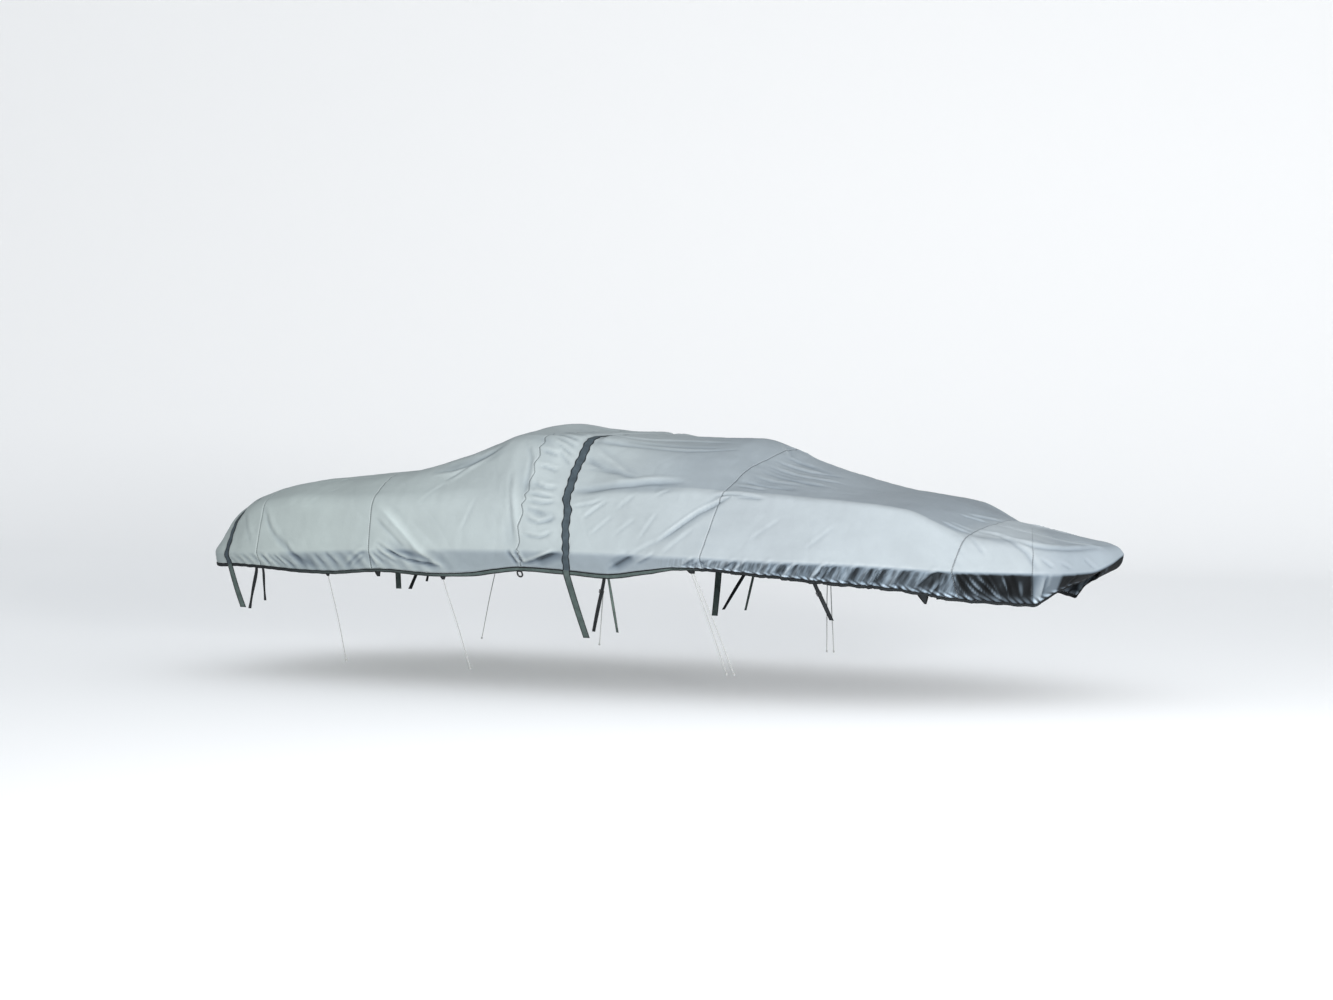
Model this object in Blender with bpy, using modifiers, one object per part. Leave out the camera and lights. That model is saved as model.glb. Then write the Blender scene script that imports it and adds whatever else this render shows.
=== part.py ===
"""Fitted boat cover, modelled as it hangs when stretched over a runabout: cloth panels, hem binding,
over-straps, tie straps, tabs, loops and tie-down cords. Metres, +X to the bow, +Y to port, +Z up.
The origin is the support point under the cloth at the crest over the windshield."""

import math

import bmesh
import bpy
import numpy as np
from mathutils import Vector

# ---- driving sizes, in metres
CLOTH = 0.002            # thickness of the coated cloth
GAP = 0.0004             # clearance between the cloth and its trim
TRIM_GAP = 0.0004        # clearance between the binding and what hangs from it
BUCKLE_GAP = 0.0010      # clearance between a buckle and its twisted strap
SEAM_GAP = 0.0003        # each panel's edge stands this far back from its seam line
SEAM_STRIP = 0.010       # width of the flat strip along each seam
BINDING_TALL = 0.025
BINDING_THICK = 0.003
OVER_STRAP_WIDE = 0.050
OVER_STRAP_THICK = 0.002
OVER_STRAP_LIFT = 0.0008
TIE_THICK = 0.002
TAB_THICK = 0.004
CORD_RADIUS = 0.0035
KNOT_RADIUS = 0.011
LOOP_RADIUS = 0.004
LOOP_WIDE = 0.046
LOOP_TALL = 0.056

RAIL_ROUND = 0.025       # how softly the cloth bends at the rub rail, the shoulder, the roof edge, the ridge
SHOULDER_ROUND = 0.07
ROOF_ROUND = 0.12
RIDGE_ROUND = 0.25

# ---- the cover's form: one row for each section of the starboard half, stern centre to bow centre.
# The sections are mirrored to port. "along" is the distance round the rail from the row at amidships.
# Heights are above the rub rail amidships; in_* are distances in from the rail.
SECTION_COLUMNS = ("along", "rail_x", "rail_y", "rail_z", "hem_in", "hem_drop",
                   "shoulder_in", "shoulder_z", "roof_in", "roof_z", "ridge_x", "ridge_z")
SECTIONS = [
    (-4.10, -3.06, 0.00, -0.030, 0.00, 0.075, 0.12, 0.150, 0.25, 0.290, -2.58, 0.385),
    (-3.60, -3.05, 0.50, -0.030, 0.00, 0.075, 0.17, 0.150, 0.38, 0.285, -2.58, 0.385),
    (-3.20, -2.98, 0.88, -0.035, 0.01, 0.075, 0.18, 0.150, 0.41, 0.290, -2.58, 0.385),
    (-2.95, -2.85, 1.07, -0.040, 0.02, 0.075, 0.15, 0.180, 0.40, 0.325, -2.58, 0.385),
    (-2.83, -2.765, 1.118, -0.040, 0.03, 0.073, 0.14, 0.213, 0.40, 0.345, -2.580, 0.385),
    (-2.77, -2.717, 1.135, -0.040, 0.04, 0.071, 0.13, 0.230, 0.40, 0.354, -2.520, 0.397),
    (-2.50, -2.50, 1.19, -0.036, 0.05, 0.080, 0.10, 0.300, 0.40, 0.392, -2.48, 0.420),
    (-2.10, -2.10, 1.23, -0.022, 0.05, 0.112, 0.07, 0.340, 0.36, 0.452, -2.10, 0.474),
    (-1.85, -1.85, 1.24, -0.010, 0.05, 0.125, 0.06, 0.340, 0.33, 0.468, -1.85, 0.499),
    (-1.56, -1.56, 1.25, 0.002, 0.05, 0.115, 0.06, 0.340, 0.30, 0.488, -1.56, 0.535),
    (-1.05, -1.05, 1.25, 0.018, 0.05, 0.147, 0.07, 0.360, 0.35, 0.608, -1.05, 0.705),
    (-0.85, -0.85, 1.25, 0.020, 0.05, 0.140, 0.08, 0.370, 0.38, 0.682, -0.86, 0.788),
    (-0.65, -0.65, 1.25, 0.022, 0.05, 0.115, 0.08, 0.370, 0.38, 0.750, -0.69, 0.824),
    (-0.46, -0.46, 1.25, 0.024, 0.05, 0.098, 0.09, 0.360, 0.40, 0.762, -0.48, 0.776),
    (-0.16, -0.13, 1.25, 0.022, 0.05, 0.110, 0.13, 0.330, 0.58, 0.757, -0.22, 0.762),
    (0.14, 0.14, 1.25, 0.020, 0.05, 0.125, 0.22, 0.420, 0.62, 0.700, 0.12, 0.745),
    (0.40, 0.40, 1.245, 0.016, 0.05, 0.090, 0.26, 0.420, 0.62, 0.655, 0.40, 0.737),
    (0.64, 0.61, 1.24, 0.010, 0.05, 0.062, 0.28, 0.415, 0.62, 0.608, 0.68, 0.734),
    (0.84, 0.79, 1.235, 0.007, 0.05, 0.060, 0.30, 0.405, 0.62, 0.545, 0.92, 0.662),
    (1.00, 0.97, 1.225, 0.000, 0.05, 0.065, 0.30, 0.400, 0.60, 0.495, 1.06, 0.594),
    (1.25, 1.24, 1.205, -0.007, 0.06, 0.082, 0.31, 0.385, 0.60, 0.450, 1.28, 0.518),
    (1.60, 1.60, 1.150, -0.015, 0.07, 0.108, 0.30, 0.360, 0.60, 0.386, 1.60, 0.419),
    (1.95, 1.95, 1.060, -0.032, 0.09, 0.123, 0.29, 0.315, 0.60, 0.333, 1.95, 0.359),
    (2.30, 2.30, 0.890, -0.058, 0.12, 0.163, 0.20, 0.150, 0.45, 0.190, 2.38, 0.224),
    (2.56, 2.54, 0.740, -0.068, 0.14, 0.178, 0.18, 0.125, 0.40, 0.172, 2.46, 0.201),
    (2.80, 2.72, 0.600, -0.075, 0.15, 0.188, 0.16, 0.120, 0.35, 0.155, 2.53, 0.185),
    (3.00, 2.86, 0.440, -0.085, 0.15, 0.110, 0.07, 0.072, 0.18, 0.114, 2.59, 0.168),
    (3.18, 2.99, 0.280, -0.080, 0.13, 0.060, 0.07, 0.076, 0.18, 0.106, 2.65, 0.157),
    (3.34, 3.08, 0.140, -0.035, 0.12, 0.050, 0.05, 0.076, 0.14, 0.100, 2.71, 0.147),
    (3.50, 3.13, 0.000, 0.020, 0.12, 0.045, 0.04, 0.074, 0.12, 0.098, 2.77, 0.138),
]
STERN_ALONG = SECTIONS[0][0]
BOW_ALONG = SECTIONS[-1][0]
CREST_ALONG = -0.65      # the section whose ridge carries the support point

# ---- how far forward the cloth's columns lean near the windshield strap, at each height step
STRAP_LEAN_COLUMNS = ("step", "forward")
STRAP_LEAN = [(0, 0.0), (1.5, 0.018), (3.2, -0.022), (4.5, -0.060), (6.0, -0.028), (8, 0.0)]
STRAP_LEAN_ALONG = -0.16
STRAP_LEAN_REACH = 0.28

# ---- height steps in a section: 0 hem, 1 to 2 rail, 3 to 4 shoulder, 5 to 6 roof edge, 8 ridge
HEM_STEP = 0.0
RIDGE_STEP = 8.0
CLOTH_STEPS = (0, 1, 1.5, 2, 2.5, 3, 3.5, 4, 5, 5.5, 6.5, 8)

# ---- panels: name, first and last station, spacing of the columns between
PANEL_COLUMNS = ("name", "start", "end", "spacing")
PANELS = [
    ("panel_stern", STERN_ALONG, -2.45, 0.13),
    ("panel_aft", -2.45, -1.56, 0.10),
    ("panel_cockpit", -1.56, -0.46, 0.10),
    ("panel_windshield", -0.46, 0.84, 0.10),
    ("panel_foredeck", 0.84, 2.30, 0.075),
    ("panel_bow", 2.30, 2.80, 0.075),
    ("panel_bow_cap", 2.80, BOW_ALONG, 0.10),
]

# ---- main folds, in from the smooth form where depth is above zero and out where it is below
FOLD_COLUMNS = ("along_1", "step_1", "along_2", "step_2", "depth", "width")
FOLDS = [
    (-2.30, 2.40, -2.00, 0.30, 0.012, 0.060),
    (-1.50, 3.10, -1.08, 1.10, -0.014, 0.075),
    (-1.44, 2.10, -1.05, 0.40, 0.016, 0.060),
    (-1.19, 5.30, -0.72, 5.15, 0.014, 0.070),
    (-0.59, 4.80, -0.50, 1.80, 0.012, 0.070),
    (-0.40, 3.00, -0.24, 2.80, 0.012, 0.060),
    (-0.36, 0.40, -0.18, 1.60, 0.014, 0.060),
    (-0.14, 4.15, 0.52, 4.05, 0.020, 0.080),
    (-0.14, 4.80, 0.22, 4.25, 0.014, 0.070),
    (-0.14, 5.30, 0.60, 6.40, 0.012, 0.060),
    (0.19, 0.40, 0.34, 1.60, 0.016, 0.060),
    (0.50, 2.20, 0.86, 3.10, 0.012, 0.060),
    (0.92, 7.30, 1.30, 7.10, 0.010, 0.060),
    (0.92, 6.00, 1.32, 5.60, 0.010, 0.060),
    (0.92, 5.00, 1.24, 4.90, 0.010, 0.060),
    (2.08, 0.20, 2.27, 1.60, 0.018, 0.060),
    (2.30, 4.60, 2.62, 3.60, 0.008, 0.070),
]
GATHER_START = 0.95      # forward of this the drawn hem gathers the tucked cloth
GATHER_END = 2.76
GATHER_PITCH = 0.15
GATHER_DEPTH = 0.009

# ---- fittings along each side of the hem
OVER_STRAPS = [           # name, station, how far the tail hangs below the hem, inward and forward of it
    ("strap_stern", -2.80, 0.30, 0.07, 0.06),
    ("strap_windshield", -0.16, 0.44, 0.20, 0.04),
]
TIE_COLUMNS = ("name", "along", "drop", "inward", "forward", "wide")
TIES = [
    ("tie_aft_long", -2.500, 0.30, 0.08, -0.10, 0.028),
    ("tie_aft_short", -2.440, 0.24, 0.07, -0.02, 0.018),
    ("tie_mid_aft", 0.125, 0.38, 0.18, -0.16, 0.026),
    ("tie_mid_fore", 0.155, 0.38, 0.18, -0.02, 0.018),
    ("tie_fore", 1.500, 0.25, 0.12, 0.07, 0.028),
]
BUCKLE_COLUMNS = ("name", "tie", "fraction")
BUCKLES = [("buckle_mid", "tie_mid_aft", 0.34), ("buckle_fore", "tie_fore", 0.36)]
BUCKLE_SIZE = (0.034, 0.012, 0.026)
TAB_COLUMNS = ("name", "along", "wide", "tall", "point")
TABS = [
    ("tab_aft", -1.910, 0.030, 0.014, 0.5),
    ("tab_seam", -1.520, 0.042, 0.030, 0.5),
    ("tab_cockpit", -1.030, 0.040, 0.018, 0.5),
    ("tab_windshield", 0.750, 0.054, 0.026, 0.6),
    ("tab_bow", 2.110, 0.070, 0.064, 0.2),
]
LOOP_ALONG = -0.480
CORD_COLUMNS = ("name", "tab", "sideways", "drop", "inward", "forward")
CORDS = [
    ("cord_aft", "tab_aft", 0.0, 0.60, 0.25, -0.01),
    ("cord_cockpit", "tab_cockpit", 0.0, 0.62, 0.25, 0.06),
    ("cord_fore_1", "tab_windshield", -0.008, 0.67, 0.33, 0.10),
    ("cord_fore_2", "tab_windshield", 0.008, 0.67, 0.33, 0.15),
]
CORD_SAG = 0.008
CORD_TURN = 0.020        # how soon a cord turns from its tab into its own line

SIDES = (("starboard", 1.0), ("port", -1.0))

COLOURS = {               # linear colour, roughness, metallic
    "cloth": ((0.47, 0.50, 0.52), 0.62, 0.0),
    "webbing": ((0.022, 0.026, 0.030), 0.70, 0.0),
    "plastic": ((0.012, 0.012, 0.013), 0.40, 0.0),
    "rope": ((0.78, 0.78, 0.76), 0.80, 0.0),
}


def row_tables(columns, rows):
    return [dict(zip(columns, row)) for row in rows]


# ---- the smooth form
TABLE = np.array(SECTIONS, float)


def section_sizes(along):
    """Every column of SECTIONS at the stations asked for, by a cubic that never overshoots its rows."""
    x = TABLE[:, 0]
    along = np.clip(along, x[0], x[-1])
    step = np.diff(x)[:, None]
    slope = np.diff(TABLE, axis=0) / step
    before, after = 2 * step[1:] + step[:-1], step[1:] + 2 * step[:-1]
    rising = slope[:-1] * slope[1:] > 0
    safe = np.where(rising, slope[:-1], 1.0), np.where(rising, slope[1:], 1.0)
    tangent = np.zeros_like(TABLE)
    tangent[1:-1] = np.where(rising, (before + after) / (before / safe[0] + after / safe[1]), 0.0)
    tangent[0], tangent[-1] = slope[0], slope[-1]
    i = np.clip(np.searchsorted(x, along, side="right") - 1, 0, len(x) - 2)
    wide = (x[i + 1] - x[i])[:, None]
    s = (along - x[i])[:, None] / wide
    return ((2 * s**3 - 3 * s**2 + 1) * TABLE[i] + (s**3 - 2 * s**2 + s) * wide * tangent[i]
            + (3 * s**2 - 2 * s**3) * TABLE[i + 1] + (s**3 - s**2) * wide * tangent[i + 1])


def toward(start, end, distance):
    """Points that distance from start to end, and never past the middle."""
    run = end - start
    length = np.linalg.norm(run, axis=1)[:, None]
    return start + run * np.minimum(distance / length, 0.45)


def smooth_form(along, step):
    """Points of the starboard half before folds: stations along, height steps from the hem to the ridge."""
    near = np.clip(1 - ((along - STRAP_LEAN_ALONG) / STRAP_LEAN_REACH)**2, 0, 1)**2
    steps, forward = zip(*STRAP_LEAN)
    along = along + near * np.interp(step, steps, forward)
    size = dict(zip(SECTION_COLUMNS, section_sizes(along).T))
    rail = np.stack([size["rail_x"], -size["rail_y"], size["rail_z"]], -1)
    ridge = np.stack([size["ridge_x"], 0 * size["rail_y"], size["ridge_z"]], -1)
    inward = (ridge - rail) * (1, 1, 0)
    inward /= np.linalg.norm(inward, axis=1)[:, None]

    def set_in(distance, height):
        point = rail + inward * distance[:, None]
        point[:, 2] = height
        return point

    hem = set_in(size["hem_in"], size["rail_z"] - size["hem_drop"])
    shoulder = set_in(size["shoulder_in"], size["shoulder_z"])
    roof = set_in(size["roof_in"], size["roof_z"])
    ridge_share = np.minimum(RIDGE_ROUND / np.linalg.norm(roof - ridge, axis=1), 0.45) / 2
    peak = ridge.copy()
    peak[:, 2] = (ridge[:, 2] - ridge_share * roof[:, 2]) / (1 - ridge_share)
    ridge_start = peak + (roof - peak) * 2 * ridge_share[:, None]
    ridge_far = np.where([True, True, False], 2 * peak - ridge_start, ridge_start)
    knots = [hem, toward(rail, hem, RAIL_ROUND), toward(rail, shoulder, RAIL_ROUND),
             toward(shoulder, rail, SHOULDER_ROUND), toward(shoulder, roof, SHOULDER_ROUND),
             toward(roof, shoulder, ROOF_ROUND), toward(roof, peak, ROOF_ROUND), ridge_start, ridge_far]
    corners = {1: rail, 3: shoulder, 5: roof, 7: peak}
    segment = np.clip(step.astype(int), 0, 7)
    part = (step - segment)[:, None]
    point = np.zeros((len(along), 3))
    for index in range(8):
        start, end = knots[index], knots[index + 1]
        f = part / 2 if index == 7 else part
        if index in corners:
            curve = (1 - f)**2 * start + 2 * f * (1 - f) * corners[index] + f**2 * end
        else:
            curve = start + (end - start) * f
        point = np.where((segment == index)[:, None], curve, point)
    return point


def form_normal(along, step):
    """Outward unit normals of the smooth form."""
    small_a, small_s = 0.004, 0.04
    a_low, a_high = np.maximum(along - small_a, STERN_ALONG), np.minimum(along + small_a, BOW_ALONG)
    s_low, s_high = np.maximum(step - small_s, HEM_STEP), np.minimum(step + small_s, RIDGE_STEP)
    normal = np.cross(smooth_form(a_high, step) - smooth_form(a_low, step),
                      smooth_form(along, s_high) - smooth_form(along, s_low))
    middle = (along <= STERN_ALONG + 1e-6) | (along >= BOW_ALONG - 1e-6) | (step >= RIDGE_STEP - 1e-6)
    normal[middle, 1] = 0.0
    normal[np.linalg.norm(normal, axis=1) < 1e-9] = (0.0, 0.0, 1.0)
    return normal / np.linalg.norm(normal, axis=1)[:, None]


def fold_depth(point, along, step):
    """How far the cloth lies in from the smooth form: the main folds and the gathers at the drawn hem."""
    depth = np.zeros(len(along))
    for fold in row_tables(FOLD_COLUMNS, FOLDS):
        ends = smooth_form(np.array([fold["along_1"], fold["along_2"]]),
                           np.array([fold["step_1"], fold["step_2"]]))
        run = ends[1] - ends[0]
        share = np.clip((point - ends[0]) @ run / (run @ run), 0, 1)
        near = np.linalg.norm(point - ends[0] - share[:, None] * run, axis=1) / fold["width"]
        depth += fold["depth"] * np.clip(1 - near**2, 0, 1)**2
    inside = np.clip((along - GATHER_START) / 0.2, 0, 1) * np.clip((GATHER_END - along) / 0.1, 0, 1)
    low = np.clip(1.6 - step, 0, 1) * np.clip(0.25 + step, 0, 1)
    wave = np.cos(2 * math.pi * (along - GATHER_START) / GATHER_PITCH)
    return depth + GATHER_DEPTH * inside * low * wave


CREST = smooth_form(np.array([CREST_ALONG]), np.array([RIDGE_STEP]))[0]
ORIGIN = np.array([CREST[0], 0.0, CREST[2] - CLOTH - GAP])


def cloth_points(along, step, side=1.0, lift=0.0):
    """Points on the cloth's outer face, or lift above it, in the part's own frame."""
    along, step = np.broadcast_arrays(np.atleast_1d(np.asarray(along, float)), np.asarray(step, float))
    smooth = smooth_form(along, step)
    normal = form_normal(along, step)
    raised = smooth + normal * (lift - fold_depth(smooth, along, step))[:, None]
    return (raised - ORIGIN) * (1.0, side, 1.0)


def unit(vector):
    return vector / np.linalg.norm(vector)


def hem_value(values, along):
    """A value along the cloth's lower edge, which runs straight from one column of the cloth to the next."""
    return np.array([np.interp(along, HEM_ALONG, values[:, axis]) for axis in range(3)])


def panel_columns(panel):
    """Stations of a panel's columns: a narrow strip at each seam, and columns at the over-straps' edges."""
    start, end = panel["start"], panel["end"]
    inner_start = start if start == STERN_ALONG else start + SEAM_STRIP
    inner_end = end if end == BOW_ALONG else end - SEAM_STRIP
    count = max(2, round((inner_end - inner_start) / panel["spacing"]))
    columns = {float(a) for a in np.linspace(inner_start, inner_end, count + 1)} | {start, end}
    for _, along, *_ in OVER_STRAPS:
        edges = [along - OVER_STRAP_WIDE / 2, along, along + OVER_STRAP_WIDE / 2]
        if start < along < end:
            columns = {a for a in columns if abs(a - along) > OVER_STRAP_WIDE} | set(edges)
    return sorted(columns)


def all_columns():
    return sorted({a for panel in row_tables(PANEL_COLUMNS, PANELS) for a in panel_columns(panel)})


HEM_ALONG = np.array(all_columns())
HEM_EDGE = cloth_points(HEM_ALONG, HEM_STEP)
HEM_DOWN = HEM_EDGE - cloth_points(HEM_ALONG, CLOTH_STEPS[1])


class HemPlace:
    """A place on the hem: the cloth's edge there, and which way is down the cloth, along the hem and out."""

    def __init__(self, along, side):
        mirror = np.array([1.0, side, 1.0])
        self.edge = hem_value(HEM_EDGE, along) * mirror
        self.down = unit(hem_value(HEM_DOWN, along) * mirror)
        self.forward = unit(hem_value(HEM_EDGE, along + 0.01) - hem_value(HEM_EDGE, along - 0.01)) * mirror
        self.inboard = np.array([0.0, side, 0.0])
        out = np.cross(self.forward, self.down)
        self.out = unit(out if out[1] * side < 0 else -out)

    def under_binding(self, extra=0.0):
        """The middle of the binding's lower edge, or extra below it."""
        return (self.edge + self.down * (GAP + BINDING_TALL + TRIM_GAP + extra)
                - self.out * BINDING_THICK / 2)


def binding_columns():
    """Stations of the binding's columns: those of the cloth, and both edges of everything hung from it."""
    hung = [(tab["along"], tab["wide"]) for tab in row_tables(TAB_COLUMNS, TABS)]
    hung += [(tie["along"], tie["wide"]) for tie in row_tables(TIE_COLUMNS, TIES)]
    hung += [(LOOP_ALONG, LOOP_WIDE)]
    edges = {along + wide / 2 * way for along, wide in hung for way in (-1.0, 1.0)}
    cloth = {along for along in all_columns() if min(abs(along - edge) for edge in edges) > 0.012}
    return sorted(cloth | edges)


# ---- scene set-up
def clear_scene():
    for thing in list(bpy.data.objects):
        bpy.data.objects.remove(thing, do_unlink=True)


def make_collection(name):
    collection = bpy.data.collections.new(name)
    bpy.context.scene.collection.children.link(collection)
    return collection


def make_material(name):
    colour, roughness, metallic = COLOURS[name]
    material = bpy.data.materials.new(name)
    material.use_nodes = True
    shader = material.node_tree.nodes["Principled BSDF"]
    shader.inputs["Base Color"].default_value = (*colour, 1.0)
    shader.inputs["Roughness"].default_value = roughness
    shader.inputs["Metallic"].default_value = metallic
    return material


def add_object(name, data, material):
    piece = bpy.data.objects.new(name, data)
    piece.data.materials.append(MATERIALS[material])
    COLLECTION.objects.link(piece)
    return piece


def sheet_object(name, grids, material, thickness, offset):
    """A sheet from grids of points (columns by steps, mirrored or not), given its thickness by Solidify."""
    mesh = bmesh.new()
    for grid, side in grids:
        verts = [[mesh.verts.new(point) for point in column] for column in grid]
        for i in range(len(verts) - 1):
            for j in range(len(verts[0]) - 1):
                face = [verts[i][j], verts[i + 1][j], verts[i + 1][j + 1], verts[i][j + 1]]
                mesh.faces.new(face if side > 0 else face[::-1])
    bmesh.ops.remove_doubles(mesh, verts=mesh.verts, dist=1e-5)
    for face in mesh.faces:
        face.smooth = True
    data = bpy.data.meshes.new(name)
    mesh.to_mesh(data)
    mesh.free()
    piece = add_object(name, data, material)
    solid = piece.modifiers.new("thickness", "SOLIDIFY")
    solid.thickness = thickness
    solid.offset = offset
    return piece


# ---- the cloth
def cloth_grid(columns, steps, side, lift=0.0):
    return np.array([cloth_points(np.full(len(steps), a), np.array(steps, float), side, lift)
                     for a in columns])


def drawn_back(grid, index, neighbour):
    """Moves one edge column of a grid back from its seam line, towards the next column."""
    run = grid[neighbour] - grid[index]
    grid[index] += run / np.linalg.norm(run, axis=1)[:, None] * SEAM_GAP


def make_panels():
    for panel in row_tables(PANEL_COLUMNS, PANELS):
        grids = []
        for _, side in SIDES:
            grid = cloth_grid(panel_columns(panel), CLOTH_STEPS, side)
            if panel["start"] != STERN_ALONG:
                drawn_back(grid, 0, 1)
            if panel["end"] != BOW_ALONG:
                drawn_back(grid, -1, -2)
            grids.append((grid, side))
        sheet_object(panel["name"], grids, "cloth", CLOTH, -1.0)


def make_binding():
    grids = []
    for _, side in SIDES:
        columns = []
        for along in binding_columns():
            place = HemPlace(along, side)
            columns.append([place.edge + place.down * (GAP + BINDING_TALL), place.edge + place.down * GAP])
        grids.append((np.array(columns), side))
    sheet_object("hem_binding", grids, "webbing", BINDING_THICK, -1.0)


# ---- webbing
def make_over_strap(name, along, drop, inward, forward):
    """A strap over the cover from side to side, whose tails hang below the hem."""
    half = OVER_STRAP_WIDE / 2
    grids = []
    for _, side in SIDES:
        place = HemPlace(along, side)
        columns = [along - half, along, along + half]
        over = cloth_grid(columns, CLOTH_STEPS, side, OVER_STRAP_LIFT)
        tails = []
        for column, offset in zip(over, (-half, 0.0, half)):
            down = HemPlace(along + offset, side).down
            past_hem = column[0] + down * (BINDING_TALL + 5 * GAP) + place.out * GAP
            bottom = (place.edge + place.inboard * inward + place.out * OVER_STRAP_LIFT
                      + np.array([forward + offset, 0.0, -drop]))
            middle = past_hem * 0.5 + bottom * 0.5
            tails.append(np.array([bottom, middle, past_hem, *column]))
        grids.append((np.array(tails), side))
    sheet_object(name, grids, "webbing", OVER_STRAP_THICK, 1.0)


def tie_edges(tie, side):
    """The paths of a tie's two edges, from under the binding to its free end, and its place on the hem."""
    place = HemPlace(tie["along"], side)
    bottom = place.edge + place.inboard * tie["inward"] + np.array([tie["forward"], 0.0, -tie["drop"]])
    edges = []
    for way in (-1.0, 1.0):
        top = HemPlace(tie["along"] + tie["wide"] / 2 * way, side).under_binding()
        end = bottom + unit(place.forward * (1, 1, 0)) * tie["wide"] / 2 * way
        knee = top + (end - top) * 0.12 + place.down * 0.008
        edges.append([top, knee, top * 0.4 + end * 0.6, end])
    return place, edges


def make_ties():
    for side_name, side in SIDES:
        for tie in row_tables(TIE_COLUMNS, TIES):
            _, edges = tie_edges(tie, side)
            sheet_object(f"{tie['name']}_{side_name}", [(np.array(edges), side)], "webbing", TIE_THICK, 0.0)


def make_buckles():
    ties = {tie["name"]: tie for tie in row_tables(TIE_COLUMNS, TIES)}
    for side_name, side in SIDES:
        for buckle in row_tables(BUCKLE_COLUMNS, BUCKLES):
            place, edges = tie_edges(ties[buckle["tie"]], side)
            start, end = ((edges[0][row] + edges[1][row]) / 2 for row in (1, 2))
            run = unit(end - start)
            face = unit(np.cross(run, place.forward))
            face = face if face[1] * side < 0 else -face
            wide = np.cross(face, run)
            centre = (start + (end - start) * buckle["fraction"]
                      + face * (TIE_THICK / 2 + BUCKLE_GAP + BUCKLE_SIZE[1] / 2))
            mesh = bmesh.new()
            bmesh.ops.create_cube(mesh, size=1.0)
            for vert in mesh.verts:
                across, deep, tall = (c * size for c, size in zip(vert.co, BUCKLE_SIZE))
                vert.co = Vector(centre + wide * across + face * deep + run * tall)
            data = bpy.data.meshes.new(buckle["name"])
            mesh.to_mesh(data)
            mesh.free()
            piece = add_object(f"{buckle['name']}_{side_name}", data, "plastic")
            bevel = piece.modifiers.new("edges", "BEVEL")
            bevel.width = 0.0025
            bevel.segments = 1


def make_tabs():
    for side_name, side in SIDES:
        for tab in row_tables(TAB_COLUMNS, TABS):
            middle = HemPlace(tab["along"], side)
            columns = []
            for way in (-1.0, 1.0):
                place = HemPlace(tab["along"] + tab["wide"] / 2 * way, side)
                tip = middle.under_binding(tab["tall"]) + middle.forward * tab["wide"] / 2 * tab["point"] * way
                columns.append([tip, place.under_binding()])
            sheet_object(f"{tab['name']}_{side_name}", [(np.array(columns), side)], "webbing", TAB_THICK, 0.0)


# ---- loops and cords
def tube(name, path, radius, material, cyclic=False):
    curve = bpy.data.curves.new(name, "CURVE")
    curve.dimensions = "3D"
    curve.bevel_depth = radius
    curve.bevel_resolution = 2
    curve.use_fill_caps = not cyclic
    spline = curve.splines.new("POLY")
    spline.points.add(len(path) - 1)
    for point, co in zip(spline.points, path):
        point.co = (*co, 1.0)
    spline.use_cyclic_u = cyclic
    return add_object(name, curve, material)


def make_loops():
    """An empty oval loop under the binding on each side."""
    for side_name, side in SIDES:
        place = HemPlace(LOOP_ALONG, side)
        centre = place.under_binding(LOOP_TALL / 2)
        path = []
        for i in range(16):
            turn = 2 * math.pi * i / 16
            path.append(centre + place.forward * math.cos(turn) * (LOOP_WIDE / 2 - LOOP_RADIUS)
                        + place.down * math.sin(turn) * (LOOP_TALL / 2 - LOOP_RADIUS))
        tube(f"hem_loop_{side_name}", path, LOOP_RADIUS, "webbing", cyclic=True)


def cord_path(cord, tab, side):
    """From under the tab to the knot: straight out of the tab, then the nearly straight line of a taut rope."""
    place = HemPlace(tab["along"], side)
    start = place.under_binding(tab["tall"] + TRIM_GAP) + place.forward * cord["sideways"]
    end = place.edge + place.inboard * cord["inward"] + np.array([cord["forward"], 0.0, -cord["drop"]])
    length = np.linalg.norm(end - start)
    turn = (place.down - (end - start) / length) * CORD_TURN
    steps = [0.0, 0.005 / length, 0.015 / length, *np.linspace(0.03 / length, 1, 26)]
    return [start + (end - start) * s + turn * (1 - math.exp(-s * length / CORD_TURN) - s)
            + place.inboard * CORD_SAG * math.sin(math.pi * s)**2 for s in steps]


def make_cords():
    tabs = {tab["name"]: tab for tab in row_tables(TAB_COLUMNS, TABS)}
    for side_name, side in SIDES:
        for cord in row_tables(CORD_COLUMNS, CORDS):
            path = cord_path(cord, tabs[cord["tab"]], side)
            tube(f"{cord['name']}_{side_name}", path, CORD_RADIUS, "rope")
            run = unit(path[-1] - path[-2])
            knot = bmesh.new()
            bmesh.ops.create_uvsphere(knot, u_segments=8, v_segments=6, radius=KNOT_RADIUS)
            for vert in knot.verts:
                vert.co.z = max(min(vert.co.z * 1.25, KNOT_RADIUS), -KNOT_RADIUS)
            centre = Vector(path[-1] + run * (KNOT_RADIUS + GAP))
            turn = Vector(run).to_track_quat("Z", "Y").to_matrix().to_4x4()
            bmesh.ops.transform(knot, matrix=turn, verts=knot.verts)
            bmesh.ops.translate(knot, vec=centre, verts=knot.verts)
            data = bpy.data.meshes.new("knot")
            knot.to_mesh(data)
            knot.free()
            add_object(f"{cord['name'].replace('cord', 'knot')}_{side_name}", data, "rope")


clear_scene()
COLLECTION = make_collection("boat_cover")
MATERIALS = {name: make_material(name) for name in COLOURS}
make_panels()
make_binding()
for strap in OVER_STRAPS:
    make_over_strap(*strap)
make_ties()
make_buckles()
make_tabs()
make_loops()
make_cords()
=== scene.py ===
"""The looks of a fitted boat cover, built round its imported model: stretched cloth with its seams, folds
and gathers, a bound hem, webbing, buckles, tabs, loops and tie-down ropes. Metres, in the model's frame."""
import math

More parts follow.
